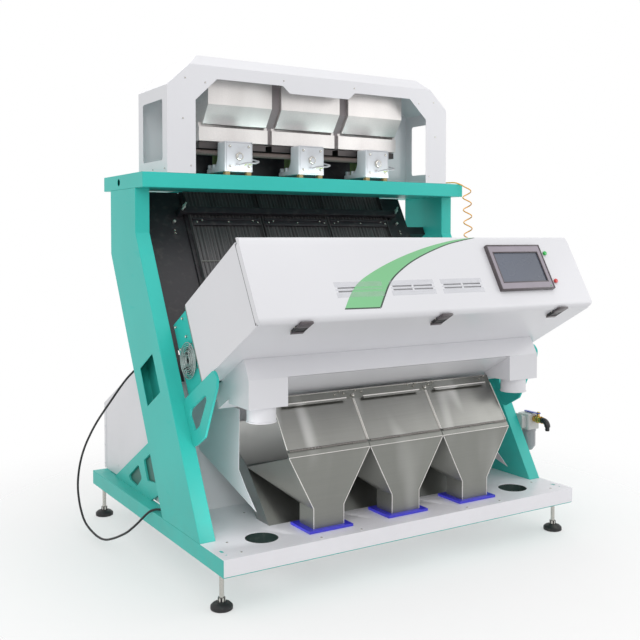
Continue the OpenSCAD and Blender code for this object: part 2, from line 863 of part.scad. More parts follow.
// Square fan frame inside the left chamber side, with spokes to the motor and a wire guard outside
module fan_housing() {
    frame_x = -chamber_x + side_t;
    spoke = 8;
    color(black) lean_frame() translate([0, fan_back, fan_up]) {
        difference() {
            block([frame_x, frame_x + fan_depth], [-fan_side / 2, fan_side / 2],
                [-fan_side / 2, fan_side / 2]);
            rod_x(frame_x - over, 0, 0, fan_d, fan_depth + 2 * over);
        }
        for (a = [0:90:270]) rotate([a, 0, 0])
            block([frame_x + fan_depth - spoke, frame_x + fan_depth], [-spoke / 2, spoke / 2],
                [0, fan_side / 2 - over]);
        rod_x(frame_x + fan_depth - spoke, 0, 0, motor_d, spoke);
        rod_x(frame_x + spoke, 0, 0, shaft_d, fan_depth - spoke);
    }
    color(steel) lean_frame() translate([-chamber_x - guard_gap, fan_back, fan_up]) {
        for (d = guard_rings) rotate([0, 90, 0]) rotate_extrude() translate([d / 2, 0]) circle(d = guard_d);
        for (a = [45:90:315]) rotate([a, 0, 0]) {
            translate([0, 0, guard_rings[0] / 2])
                cylinder(d = guard_d * 0.8, h = (guard_rings[3] - guard_rings[0]) / 2);
            rod_x(-over, 0, guard_rings[3] / 2, guard_d * 1.3, guard_gap + over);
        }
    }
}

module fan_rotor() {
    frame_x = -chamber_x + side_t;
    hub_l = 20;
    blade_r = fan_d / 2 - 3;
    color(black) lean_frame() translate([frame_x + 5, fan_back, fan_up]) difference() {
        union() {
            rod_x(0, 0, 0, motor_d, hub_l);
            for (a = [0:360 / 7:359]) rotate([a, 0, 0]) translate([hub_l / 2, 0, motor_d / 2 - 2])
                rotate([0, 0, 35]) translate([-1, -12, 0]) cube([2, 24, blade_r - motor_d / 2]);
        }
        rod_x(-over, 0, 0, shaft_d + 2 * fit, hub_l + 2 * over);
    }
}

ejector_up = [box_lo + 7, box_lo + 57];
ejector_back = [-60, 0];
valve_size = [300, 30, 34];
nozzle_d = 4;

// Air manifold that spans the chamber, with a row of nozzles and a valve block for each chute
module ejector_bank() {
    half = chamber_x - side_t;
    color(dark_steel) lean_frame() {
        difference() {
            block([-half, half], ejector_back, ejector_up);
            block([-pitch * 1.5, pitch * 1.5], [ejector_back[1] - nozzle_d, ejector_back[1] + over],
                [ejector_up[1] - 2 * nozzle_d, ejector_up[1] - nozzle_d]);
        }
        for (i = lanes) translate([i * pitch, 0, 0])
            block([-valve_size[0] / 2, valve_size[0] / 2], [ejector_back[0] - valve_size[1], ejector_back[0]],
                [ejector_up[0], ejector_up[0] + valve_size[2]]);
    }
}

rail_side = 12;
wiper_w = 60;
wiper_inset = 134;
wiper_park = box_x - wiper_inset;
wiper_rail_up = view_up[0] - 30;
wiper_rail_back = -box_back + glass_t + 16;

module wiper_rail() {
    half = chamber_x - side_t;
    color(steel) lean_frame() block([-half, half], [wiper_rail_back, wiper_rail_back + rail_side],
        [wiper_rail_up, wiper_rail_up + rail_side]);
}

// Wiper on its rail, parked beside the window, with a blade that reaches over the glass
module wiper() {
    color(black) lean_frame() translate([-wiper_park, 0, 0]) difference() {
        union() {
            block([-wiper_w / 2, wiper_w / 2], [wiper_rail_back - 8, wiper_rail_back + rail_side + 8],
                [wiper_rail_up - 8, wiper_rail_up + rail_side + 8]);
            block([-5, 5], [-box_back + glass_t + run, wiper_rail_back + 2],
                [wiper_rail_up + rail_side, view_up[1] + glass_edge]);
        }
        block([-wiper_w, wiper_w], [wiper_rail_back - fit, wiper_rail_back + rail_side + fit],
            [wiper_rail_up - fit, wiper_rail_up + rail_side + fit]);
    }
}

// Dust hood under the front box: a duct along the box and a leg at each end

duct_inset = 77;
hood_half = box_x - duct_inset;
duct_back = [-374, -100];
duct_drop = 78;
leg_w = 154;
leg_x = [hood_half - leg_w, hood_half];
leg_h = 102;
leg_y = lean_y(duct_back[0], box_lo - duct_drop);
leg_z = lean_z(duct_back[0], box_lo - duct_drop) - leg_h;
leg_d = 154;

module dust_hood() {
    color(white) difference() {
        union() {
            lean_frame() block([-hood_half, hood_half], duct_back, [box_lo - duct_drop, box_lo]);
            both_sides() block(leg_x, [leg_y, leg_y + leg_d], [leg_z, leg_z + leg_h]);
        }
        lean_frame() block([-hood_half + sheet, hood_half - sheet],
            [duct_back[0] + sheet, duct_back[1] + over], [box_lo - duct_drop + sheet, box_lo - sheet]);
        both_sides() {
            block([leg_x[0] + sheet, leg_x[1] - sheet], [leg_y + sheet, leg_y + leg_d - sheet],
                [leg_z + sheet, leg_z + leg_h - sheet]);
            translate([port_x, port_y, leg_z - over])
                cylinder(d = stub_d - 4 * sheet, h = sheet + 2 * over);
        }
    }
}

module suction_stubs() {
    color(white) both_sides() translate([port_x, port_y, leg_z - stub_l]) difference() {
        cylinder(d = stub_d, h = stub_l);
        translate([0, 0, -over]) cylinder(d = stub_d - 2 * sheet, h = stub_l + 2 * over);
    }
}

// Discharge hoppers with hinged doors

fold_z = deck_top + fold_h;
hopper_half = pitch / 2 - 1;
hopper_rear = 400;
rear_drop = 100;
knee_h = 82;
strip_l = 20;
barrel_d = 7;
barrel_pin_d = 3;
barrel_n = 5;
barrel_l = 2 * (hopper_half - 6) / barrel_n;

// Corners of the funnel, moved inwards by w and lengthened past both ends by e
function funnel_points(w, e) = let (top = [[-hopper_half + w, fold_y + w, fold_z],
        [hopper_half - w, fold_y + w, fold_z], [hopper_half - w, hopper_rear - w, fold_z - rear_drop],
        [-hopper_half + w, hopper_rear - w, fold_z - rear_drop]],
    low = [[-outlet_w / 2 + w, outlet_y + w, deck_top + knee_h],
        [outlet_w / 2 - w, outlet_y + w, deck_top + knee_h],
        [outlet_w / 2 - w, outlet_y + outlet_d - w, deck_top + knee_h],
        [-outlet_w / 2 + w, outlet_y + outlet_d - w, deck_top + knee_h]])
    concat([for (i = [0:3]) top[i] + (top[i] - low[i]) * e],
        [for (i = [0:3]) low[i] - (top[i] - low[i]) * e]);

module funnel(w, e) {
    polyhedron(funnel_points(w, e), [[3, 2, 1, 0], [4, 5, 6, 7], [5, 4, 0, 1], [7, 6, 2, 3],
        [6, 5, 1], [6, 1, 2], [4, 7, 3], [4, 3, 0]]);
}

// Frame of a door: Y out of its face and Z up its slope, from the fold
module door_frame() {
    translate([0, fold_y, fold_z]) rotate([-door_lean, 0, 0]) children();
}

hinge_z = strip_l + barrel_d / 2;
hinge_out = -barrel_d / 2;

module discharge_hopper() {
    difference() {
        union() {
            funnel(0, 0);
            block([-outlet_w / 2, outlet_w / 2], [outlet_y, outlet_y + outlet_d],
                [deck_top, deck_top + knee_h]);
        }
        funnel(sheet, 0.02);
        block([-outlet_w / 2 + sheet, outlet_w / 2 - sheet], [outlet_y + sheet, outlet_y + outlet_d - sheet],
            [deck_top - over, deck_top + knee_h + over]);
    }
    door_frame() {
        block([-hopper_half + run, hopper_half - run], [-run, sheet], [-sheet, strip_l]);
        for (k = [0:2:barrel_n - 1])
            translate([(k - barrel_n / 2) * barrel_l, 0, 0]) {
                rod_x(run, hinge_out, hinge_z, barrel_d, barrel_l - 2 * run);
                block([run, barrel_l - run], [hinge_out, sheet / 2],
                    [strip_l - sheet, hinge_z - barrel_pin_d]);
            }
        rod_x(-barrel_n / 2 * barrel_l + run, hinge_out, hinge_z, barrel_pin_d, barrel_n * barrel_l - 2 * run);
    }
}

module discharge_hoppers() {
    color(steel) for (i = lanes) translate([i * pitch, 0, 0]) discharge_hopper();
}

grip_w = 270;
grip_d = 14;
grip_z = strip_l + door_l - sheet;

module hopper_door(i) {
    color(steel) translate([(i - 2) * pitch, 0, 0]) door_frame() difference() {
        union() {
            block([-hopper_half, hopper_half], [0, sheet], [hinge_z + barrel_d / 2 + run, strip_l + door_l]);
            for (k = [1:2:barrel_n - 1]) translate([(k - barrel_n / 2) * barrel_l, 0, 0]) {
                rod_x(run, hinge_out, hinge_z, barrel_d, barrel_l - 2 * run);
                block([run, barrel_l - run], [hinge_out, 0], [hinge_z, hinge_z + barrel_d]);
                block([run, barrel_l - run], [0, sheet], [hinge_z + barrel_d / 4, hinge_z + barrel_d]);
            }
            block([-grip_w / 2, grip_w / 2], [-grip_d, over], [grip_z, grip_z + sheet]);
            block([-grip_w / 2, grip_w / 2], [-grip_d, -grip_d + sheet], [grip_z - 4 * sheet, grip_z + sheet]);
        }
        rod_x(-hopper_half, hinge_out, hinge_z, barrel_pin_d + 2 * fit, 2 * hopper_half);
    }
}

rail_rise = 40;

// Cross rail behind the doors' upper edges, held between the legs of the dust hood
module door_rail() {
    color(steel) door_frame() block([-leg_x[0], leg_x[0]], [sheet + run, 3 * sheet + run],
        [strip_l + door_l - 2 * sheet, strip_l + door_l + rail_rise]);
}

flange_w = 28;
flange_h = 10;

module outlet_flanges() {
    color([0.22, 0.22, 0.80]) for (i = lanes) difference() {
        block([i * pitch - outlet_w / 2 - flange_w, i * pitch + outlet_w / 2 + flange_w],
            [outlet_y - flange_w + 8, outlet_y + outlet_d + flange_w - 8], [deck_top, deck_top + flange_h]);
        block([i * pitch - outlet_w / 2 - run, i * pitch + outlet_w / 2 + run],
            [outlet_y - run, outlet_y + outlet_d + run], [deck_top - over, deck_top + flange_h + over]);
    }
}

reject_top = [408, 640];
reject_h = [186, 306];

// Trough behind the discharge hoppers, with a slot down through the deck
module reject_hopper() {
    function section(w) = [[reject_top[0] + 1.4 * w, reject_h[0]], [reject_y[0] + 1.4 * w, -over * sign(w)],
        [reject_y[1] - 1.4 * w, -over * sign(w)], [reject_top[1] - 1.4 * w, reject_h[1]],
        [reject_top[1] - 1.4 * w, 2 * reject_h[1]], [reject_top[0] + 1.4 * w, 2 * reject_h[1]]];
    color(dark_steel) translate([0, 0, deck_top]) difference() {
        yz_plate(-shelf_half, 2 * shelf_half) polygon([for (i = [0:3]) section(0)[i]]);
        yz_plate(-shelf_half + sheet, 2 * (shelf_half - sheet)) polygon(section(sheet));
    }
}

// Rear cabinet

cabinet_x = inner_x - 5;
cabinet_peak = box_top + 5;
cabinet_floor = base_top;
peak = [lean_y(rear_wall, -cabinet_peak), lean_z(rear_wall, -cabinet_peak)];

function cabinet_outline(w) = [[plane_y(cabinet_floor + w, rear_wall + w), cabinet_floor + w],
    [peak[0] + w * 0.5, peak[1] - w * 1.4],
    [cabinet_rear + over * sign(w), cabinet_floor + cabinet_h - w * 1.2],
    [cabinet_rear + over * sign(w), cabinet_floor + w]];

module rear_cabinet() {
    color(white) {
        difference() {
            yz_plate(-cabinet_x, 2 * cabinet_x) polygon(cabinet_outline(0));
            yz_plate(-cabinet_x + sheet, 2 * (cabinet_x - sheet)) polygon(cabinet_outline(sheet));
            lean_frame() block([-view_half, view_half], [rear_wall - over, rear_wall + sheet + over], view_up);
        }
        lean_frame() {
            block([-cabinet_x + sheet / 2, cabinet_x - sheet / 2],
                [rear_wall + lamp_back + lamp_d * 2, rear_wall + camera_back], [shelf_up - shelf_t, shelf_up]);
            lamp_clips(rear_wall + sheet, 1);
        }
        for (x = hinge_x) rod_x(x - knuckle_l / 2, flap_y, flap_z, knuckle_d, knuckle_l);
        for (x = hinge_x) rod_x(x - 1.5 * knuckle_l, flap_y, flap_z, pin_d, 3 * knuckle_l);
        for (x = hinge_x) block([x - knuckle_l / 2, x + knuckle_l / 2],
            [cabinet_rear - knuckle_d, flap_y], [flap_z - sheet, flap_z + sheet]);
    }
}

flap_y = cabinet_rear + run + door_t / 2;
flap_z = cabinet_floor + cabinet_h + knuckle_d / 2 + 1;
flap_edge = 3;

module rear_door() {
    top = cabinet_floor + cabinet_h - 1;
    color(white) difference() {
        union() {
            block([-cabinet_x, cabinet_x], [cabinet_rear + run, cabinet_rear + run + door_t],
                [cabinet_floor + flap_edge, top]);
            for (x = hinge_x, s = [-1, 1]) translate([x + s * (knuckle_l + run), 0, 0]) {
                rod_x(-knuckle_l / 2, flap_y, flap_z, knuckle_d, knuckle_l);
                block([-knuckle_l / 2, knuckle_l / 2], [flap_y - door_t / 2, flap_y + door_t / 2],
                    [top - over, flap_z]);
            }
        }
        for (x = hinge_x) rod_x(x - 2 * knuckle_l, flap_y, flap_z, pin_d + 2 * fit, 4 * knuckle_l);
    }
}

tank_half = 450;
tank_y = 960;
saddle_t = 20;

// Air tank with domed ends on two saddles on the cabinet's floor
module air_tank() {
    z = cabinet_floor + sheet + tank_d / 2 + saddle_t;
    color(dark_steel) {
        rod_x(-tank_half, tank_y, z, tank_d, 2 * tank_half);
        both_sides() translate([tank_half, tank_y, z]) rotate([0, 90, 0]) rotate_extrude() intersection() {
            translate([0, -tank_d * 0.35]) circle(d = 1.22 * tank_d);
            square([tank_d / 2, tank_d]);
        }
        both_sides() block([tank_half - 4 * saddle_t, tank_half - 3 * saddle_t],
            [tank_y - tank_d * 0.4, tank_y + tank_d * 0.4], [cabinet_floor + sheet, z]);
    }
}

// Compressed air inlet on the right post

filter_y = 310;
filter_z = [385, 455];
filter_x = base_w / 2 + filter_gap + filter_head[0] / 2;
port_d = 34;
valve_l = 50;
valve_z = 434;
valve_y = filter_y - filter_head[1] / 2 - valve_l;
elbow_d = 26;
elbow_r = 24;
elbow_l = 18;
bracket_t = 5;

module filter_head() {
    color(cast_grey) {
        translate([filter_x, filter_y, filter_z[0]]) linear_extrude(filter_z[1] - filter_z[0])
            rounded_square(filter_head[0], filter_head[1], 10);
        translate([filter_x, filter_y, filter_z[1] - over]) cylinder(d = filter_head[0] * 0.6, h = 3);
        block([base_w / 2, filter_x - filter_head[0] / 2 + over], [filter_y - 16, filter_y + 16],
            [filter_z[0] + 8, filter_z[1] - 8]);
        block([base_w / 2, base_w / 2 + bracket_t], [filter_y - 12, filter_y + 60],
            [filter_z[0] - 20, filter_z[1]]);
    }
}

module filter_bowl() {
    bottom = filter_z[0] - bowl_l;
    color([0.55, 0.57, 0.62]) translate([filter_x, filter_y, bottom]) {
        rotate_extrude() polygon([[0, 0], [bowl_d * 0.24, 0], [bowl_d * 0.3, bowl_l * 0.02],
            [bowl_d / 2, bowl_l * 0.2], [bowl_d / 2, bowl_l], [0, bowl_l]]);
    }
}

module ball_valve() {
    color([0.75, 0.60, 0.30]) {
        rod_y(filter_x, valve_y, valve_z, port_d * 0.8, valve_l);
        translate([filter_x, valve_y + valve_l / 2, valve_z]) {
            sphere(d = port_d);
            cylinder(d = port_d * 0.4, h = lever_z - valve_z - run);
            cylinder(d = lever_pin_d, h = lever_z - valve_z + 2 * lever_bar);
        }
    }
}

lever_z = filter_z[1] + 5;
lever_bar = 4;
lever_pin_d = 8;
lever_reach = 76;
lever_w = 16;

module valve_lever() {
    color([0.15, 0.30, 0.75]) translate([filter_x, valve_y + valve_l / 2, lever_z]) difference() {
        union() {
            cylinder(d = lever_w * 1.3, h = lever_bar);
            block([-lever_w / 2, lever_w / 2], [0, lever_reach], [0, lever_bar]);
            translate([0, lever_reach, 0]) cylinder(d = lever_w, h = lever_bar);
        }
        translate([0, 0, -over]) cylinder(d = lever_pin_d + 2 * fit, h = lever_bar + 2 * over);
    }
}

// Elbow that turns from the valve down to a hose tail
module inlet_elbow() {
    color(black) translate([filter_x, valve_y, valve_z]) {
        rod_y(0, -6, 0, elbow_d, 6);
        translate([0, -6, -elbow_r]) rotate([0, 90, 0]) rotate([0, 0, 180])
            rotate_extrude(angle = 90) translate([elbow_r, 0]) circle(d = elbow_d);
        translate([0, -6 - elbow_r, -elbow_r - elbow_l]) {
            cylinder(d = elbow_d * 0.7, h = elbow_l + over);
            for (k = [0:2]) translate([0, 0, k * 8]) cylinder(d1 = elbow_d * 0.62, d2 = elbow_d * 0.82, h = 7);
        }
    }
}

// Cable and hose

gland_d = 18;
gland_l = 26;
gland_x = -rail_x;
gland_zs = [735, 230];
tail_inset = 65;
tail_setback = 155;
tail_end = [base_w / 2 - tail_inset, top_y + tail_setback];
fitting_d = 16;
fitting_h = 19;
nipple_d = 13;
drop_out = 28;
drop_fore = 17;
coil_drop = 41;
coil_l = 462;
coil_end = 30;
drop = [base_w / 2 + drop_out, top_y - drop_fore];
outlet_z = 948;
coil_z = [top_top - coil_drop - coil_l, top_top - coil_drop];

// Route of the power cable between the two glands behind the left post, from the post's middle
cable_bends = [[0, 854, 722], [-6, 875, 704], [-35, 920, 655], [-70, 965, 580], [-110, 1085, 445],
    [-138, 1165, 310], [-155, 1170, 180], [-158, 1100, 75], [-152, 1000, 35], [-138, 870, 32],
    [-110, 730, 88], [-75, 640, 158], [-42, 605, 200], [-15, 588, 210], [0, 569, 217]];
cable_route = [for (p = cable_bends) [gland_x + p[0], p[1], p[2]]];

// Route of the air hose's straight stretches, above its coil from the top frame's corner, and below it
tail_bends = [[-tail_inset, 143, 12], [-62, 108, 11], [-45, 68, 11], [-15, 38, 14], [12, 5, 5],
    [drop_out, -13, -17], [drop_out, -drop_fore, -coil_drop]];
tail_route = [for (p = tail_bends) [base_w / 2 + p[0], top_y + p[1], top_top + p[2]]];
drop_route = [for (k = [0:2]) [drop[0], drop[1], coil_z[0] - k * coil_end / 2]];

function unit(v) = v / norm(v);
function route_dir(r, i) = unit(r[min(i + 1, len(r) - 1)] - r[max(i - 1, 0)]);
function route_side(d) = unit(cross(d, abs(d[2]) > 0.9 ? [0, 1, 0] : [0, 0, 1]));

// A round tube swept along a route
module swept_tube(route, d, sides = 8) {
    rings = [for (i = [0:len(route) - 1]) let (t = route_dir(route, i), u = route_side(t), v = cross(t, u))
        [for (k = [0:sides - 1]) route[i] + d / 2 * (cos(360 * k / sides) * u + sin(360 * k / sides) * v)]];
    n = len(route);
    polyhedron([for (ring = rings) each ring], concat(
        [[for (k = [0:sides - 1]) k]],
        [for (i = [0:n - 2], k = [0:sides - 1]) let (a = i * sides + k, b = i * sides + (k + 1) % sides)
            each [[a, a + sides, b + sides], [a, b + sides, b]]],
        [[for (k = [sides - 1:-1:0]) (n - 1) * sides + k]]));
}

module line_fittings() {
    color(black) {
        for (z = gland_zs) translate([gland_x, plane_y(z, post_depth), z]) rotate([-90 - lean, 0, 0]) {
            cylinder(d = gland_d, h = gland_l);
            cylinder(d = gland_d * 1.4, h = gland_l * 0.4, $fn = 6);
        }
        translate([tail_end[0], tail_end[1], top_top]) cylinder(d = fitting_d, h = fitting_h);
        rod_y(tail_end[0], tail_route[0][1], tail_route[0][2], nipple_d, tail_end[1] - tail_route[0][1]);
        rod_x(base_w / 2, drop[1], outlet_z, fitting_d * 0.9, drop[0] - base_w / 2 + fitting_d / 2);
        translate([drop[0], drop[1], outlet_z]) cylinder(d = nipple_d, h = drop_route[2][2] - outlet_z);
    }
}

module power_cable() { color(black) swept_tube(cable_route, cable_d); }
module hose_tail() {
    color(hose_orange) {
        swept_tube(tail_route, hose_d);
        swept_tube(drop_route, hose_d);
    }
}

module hose_coil() {
    color(hose_orange) translate([drop[0], drop[1], coil_z[0]]) cylinder(d = coil_d, h = coil_l);
}

lead_d = 7;

// Short supply lead that loops from a drive's front to its side
module feeder_leads() {
    x = drive_w / 2;
    route = [[x - 30, -3, 16], [x - 30, -22, 14], [x - 14, -34, 13], [x + 14, -26, 13], [x + 34, -6, 18],
        [x + 38, 20, 34], [x + 22, 34, 46], [x, 36, 48]];
    color([0.60, 0.60, 0.62]) for (i = lanes) translate([i * drive_pitch, drive_y, drive_z])
        swept_tube(route, lead_d);
}

at_origin() base_frame();
at_origin() posts();
at_origin() frame_gussets();
at_origin() top_frame();
at_origin() front_deck();
at_origin() inner_side_panels();
at_origin() hood();
at_origin() feed_hoppers();
at_origin() drive_housings();
at_origin() drive_mounts();
at_origin() leaf_springs();
at_origin() feed_trays();
at_origin() chute_frame();
at_origin() chutes();
at_origin() chute_clamp_bar();
at_origin() front_box();
at_origin() chamber_sides();
at_origin() fan_housing();
at_origin() fan_rotor();
at_origin() optic_windows();
at_origin() cameras();
at_origin() lamp_tubes();
at_origin() ejector_bank();
at_origin() wiper_rail();
at_origin() wiper();
at_origin() dust_hood();
at_origin() suction_stubs();
at_origin() discharge_hoppers();
at_origin() door_rail();
at_origin() hopper_door(1);  // hopper_door_1
at_origin() hopper_door(2);  // hopper_door_2
at_origin() hopper_door(3);  // hopper_door_3
at_origin() outlet_flanges();
at_origin() reject_hopper();
at_origin() rear_cabinet();
at_origin() rear_door();
at_origin() air_tank();
at_origin() front_cover();
at_origin() hmi_bezel();
at_origin() hmi_screen();
at_origin() start_button();
at_origin() stop_button();
at_origin() latch_bases();
at_origin() latch_lever(0);  // latch_lever_1
at_origin() latch_lever(1);  // latch_lever_2
at_origin() latch_lever(2);  // latch_lever_3
at_origin() filter_head();
at_origin() filter_bowl();
at_origin() ball_valve();
at_origin() valve_lever();
at_origin() inlet_elbow();
at_origin() line_fittings();
at_origin() power_cable();
at_origin() feeder_leads();
at_origin() hose_tail();
at_origin() hose_coil();
at_origin() levelling_foot(0);  // levelling_foot_1
at_origin() levelling_foot(1);  // levelling_foot_2
at_origin() levelling_foot(2);  // levelling_foot_3
at_origin() levelling_foot(3);  // levelling_foot_4
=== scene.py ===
"""Optical colour sorter with three chutes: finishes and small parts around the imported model.

Sizes are millimetres until a piece is placed. The machine frame has X across, Y to the rear from
the base's front edge and Z up from the floor. The leaning frame has X across, Y back from the
posts' front plane and Z up the lean. The door frame has Y into a hopper and Z up a door's slope,
from the fold.
"""

from __future__ import annotations

import json
import logging
import math
from dataclasses import dataclass
from enum import Enum
from typing import Iterable, Sequence

import bmesh
import bpy
from mathutils import Matrix, Vector

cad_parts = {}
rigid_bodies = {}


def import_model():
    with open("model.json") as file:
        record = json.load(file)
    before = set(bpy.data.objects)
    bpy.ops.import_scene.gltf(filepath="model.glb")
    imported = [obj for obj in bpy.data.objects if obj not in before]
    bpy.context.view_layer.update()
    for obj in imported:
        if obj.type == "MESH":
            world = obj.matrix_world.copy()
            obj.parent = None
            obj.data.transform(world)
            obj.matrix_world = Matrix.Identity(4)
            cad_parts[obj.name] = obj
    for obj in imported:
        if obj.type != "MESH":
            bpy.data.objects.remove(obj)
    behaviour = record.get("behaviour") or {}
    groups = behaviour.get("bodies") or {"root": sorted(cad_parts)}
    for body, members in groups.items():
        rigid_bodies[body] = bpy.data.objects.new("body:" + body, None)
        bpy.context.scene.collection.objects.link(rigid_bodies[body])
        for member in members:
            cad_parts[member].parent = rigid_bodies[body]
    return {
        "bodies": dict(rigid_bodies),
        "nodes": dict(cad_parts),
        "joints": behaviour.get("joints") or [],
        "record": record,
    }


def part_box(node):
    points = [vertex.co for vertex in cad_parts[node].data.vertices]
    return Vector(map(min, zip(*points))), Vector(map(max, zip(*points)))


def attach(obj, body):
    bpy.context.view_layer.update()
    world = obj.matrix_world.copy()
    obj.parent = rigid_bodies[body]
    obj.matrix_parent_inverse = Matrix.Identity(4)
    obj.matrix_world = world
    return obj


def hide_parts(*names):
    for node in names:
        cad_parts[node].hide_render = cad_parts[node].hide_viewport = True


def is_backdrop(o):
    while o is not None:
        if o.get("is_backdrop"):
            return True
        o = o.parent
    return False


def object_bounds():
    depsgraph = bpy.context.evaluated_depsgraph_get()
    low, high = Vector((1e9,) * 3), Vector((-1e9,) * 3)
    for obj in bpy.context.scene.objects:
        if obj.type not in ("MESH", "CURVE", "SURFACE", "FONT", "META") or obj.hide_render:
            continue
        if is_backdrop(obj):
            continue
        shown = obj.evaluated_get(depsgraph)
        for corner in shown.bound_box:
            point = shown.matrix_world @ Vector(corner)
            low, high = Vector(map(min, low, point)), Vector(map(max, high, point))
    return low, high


LOG = logging.getLogger("sorter")

MM = 0.001
SHIFT = Vector((45.0, 620.518, 0.0))
LEAN = math.radians(29.4)
KINK = Vector((0.0, 790.0, 1266.0))
DOOR_LEAN = math.radians(35.0)
FOLD = Vector((0.0, 77.0, 475.0))

LANES = (-1, 0, 1)
PITCH = 347.0
DRIVE_PITCH = 357.0
DRIVE_HALF, DRIVE_Y, DRIVE_Z = 65.0, 778.0, 1523.0
PORT = (598.0, 134.0)
SIDES = (-1, 1)
LEFT, RIGHT, FRONT, BACK, UP = (-1, 0, 0), (1, 0, 0), (0, -1, 0), (0, 1, 0), (0, 0, 1)

Point = Sequence[float]
Points = tuple[Point, ...]
Pair = tuple[float, float]
Triple = tuple[float, float, float]
Colour = tuple[float, float, float, float]
Look = tuple[str | float, ...]
Looks = tuple[Look, ...]


class Place(Enum):
    """The frame in which a piece is drawn."""

    MACHINE = "machine"
    LEANING = "leaning"
    DOOR = "door"

    def to_row(self) -> Matrix:
        """The matrix from this frame, in millimetres, to the row frame in metres."""
        machine = Matrix.Scale(MM, 4) @ Matrix.Translation(-SHIFT)
        if self is Place.LEANING:
            return machine @ Matrix.Translation(KINK) @ Matrix.Rotation(-LEAN, 4, "X")
        if self is Place.DOOR:
            return machine @ Matrix.Translation(FOLD) @ Matrix.Rotation(-DOOR_LEAN, 4, "X")
        return machine


def tone(red: int, green: int, blue: int) -> Colour:
    """A colour as a screen shows it, from 0 to 255, in Blender's linear numbers.

    Args:
        red, green, blue: The colour's parts.

    Returns:
        The linear colour with full alpha.
    """
    parts = [value / 255.0 for value in (red, green, blue)]
    linear = [p / 12.92 if p <= 0.04045 else ((p + 0.055) / 1.055) ** 2.4 for p in parts]
    return (linear[0], linear[1], linear[2], 1.0)


def shade(colour: Sequence[float], factor: float) -> Colour:
    """The colour made lighter or darker by a factor."""
    red, green, blue = (min(1.0, part * factor) for part in colour[:3])
    return (red, green, blue, 1.0)


class Wire:
    """A shader socket with arithmetic: each operation adds a Math node."""

    def __init__(self, recipe: Recipe, socket: bpy.types.NodeSocket) -> None:
        """Keeps the socket and the recipe whose tree it is in."""
        self.recipe = recipe
        self.socket = socket

    def _math(self, operation: str, first: Wire | float, second: Wire | float) -> Wire:
        """One Math node on two values."""
        return self.recipe.node("ShaderNodeMath", {"operation": operation}, {0: first, 1: second})

    def __add__(self, other: Wire | float) -> Wire:
        """Sum."""
        return self._math("ADD", self, other)

    __radd__ = __add__

    def __sub__(self, other: Wire | float) -> Wire:
        """Difference."""
        return self._math("SUBTRACT", self, other)

    def __mul__(self, other: Wire | float) -> Wire:
        """Product."""
        return self._math("MULTIPLY", self, other)


class Recipe:
    """A material's node tree under construction."""

    def __init__(self, name: str) -> None:
        """Starts an empty tree with the piece's own coordinates."""
        self.material = bpy.data.materials.new(name)
        self.material.use_nodes = True
        self.tree = self.material.node_tree
        self.tree.nodes.clear()
        self.place = self.node("ShaderNodeTexCoord", out="Object")

    def node(
        self,
        kind: str,
        settings: dict | None = None,
        inputs: dict | None = None,
        out: int | str = 0,
    ) -> Wire:
        """Adds a node.

        Args:
            kind: The node's type.
            settings: Attributes to set first.
            inputs: Values or wires for its sockets, by name or number.
            out: The output that is returned.

        Returns:
            The chosen output.
        """
        node = self.tree.nodes.new(kind)
        for key, value in (settings or {}).items():
            setattr(node, key, value)
        for key, value in (inputs or {}).items():
            if isinstance(value, Wire):
                self.tree.links.new(value.socket, node.inputs[key])
            else:
                node.inputs[key].default_value = value
        return Wire(self, node.outputs[out])

    def noise(
        self, scale: float, detail: float = 3.0, stretch: Point = (1, 1, 1), start: float = 0.0
    ) -> Wire:
        """Noise over the surface, from 0 to 1.

        Args:
            scale: Cells in a metre.
            detail: Octaves.
            stretch: Factors on the scale along the three axes.
            start: Offset that makes one noise differ from another.

        Returns:
            The noise's value.
        """
        inputs = {"Vector": self.place, "Location": (start,) * 3, "Scale": tuple(stretch)}
        place = self.node("ShaderNodeMapping", inputs=inputs)
        inputs = {"Vector": place, "Scale": scale, "Detail": detail}
        return self.node("ShaderNodeTexNoise", inputs=inputs)

    def along(self, axis: str) -> Wire:
        """The piece's own coordinate along an axis, in metres."""
        return self.node("ShaderNodeSeparateXYZ", inputs={0: self.place}, out=axis)

    def step(self, value: Wire, low: float, high: float) -> Wire:
        """A soft step of the value from 0 at low to 1 at high."""
        settings = {"interpolation_type": "SMOOTHSTEP"}
        inputs = {"Value": value, "From Min": low, "From Max": high}
        return self.node("ShaderNodeMapRange", settings, inputs)

    def mix(self, mask: Wire, first: Wire | Point, second: Wire | Point) -> Wire:
        """A blend of two colours by a mask."""
        settings = {"data_type": "RGBA"}
        return self.node("ShaderNodeMix", settings, {0: mask, 6: first, 7: second}, out=2)

    def bump(self, height: Wire, strength: float, distance: float) -> Wire:
        """A normal from a height, with the distance in metres."""
        inputs = {"Height": height, "Strength": strength, "Distance": distance}
        return self.node("ShaderNodeBump", inputs=inputs)

    def close(self, sockets: dict) -> bpy.types.Material:
        """Ends the tree in a Principled shader with these sockets."""
        surface = self.node("ShaderNodeBsdfPrincipled", inputs=sockets)
        self.node_output(surface)
        return self.material

    def node_output(self, surface: Wire) -> None:
        """Links a shader to the material's output."""
        output = self.tree.nodes.new("ShaderNodeOutputMaterial")
        self.tree.links.new(surface.socket, output.inputs["Surface"])


DUST = tone(150, 146, 138)


@dataclass(frozen=True)
class Finish:
    """What every finish has: a name, a colour, and its record slot if that isn't its name."""

    name: str
    colour: Colour
    slot: str = ""

    def build(self) -> bpy.types.Material:
        """The finish's material."""
        raise NotImplementedError


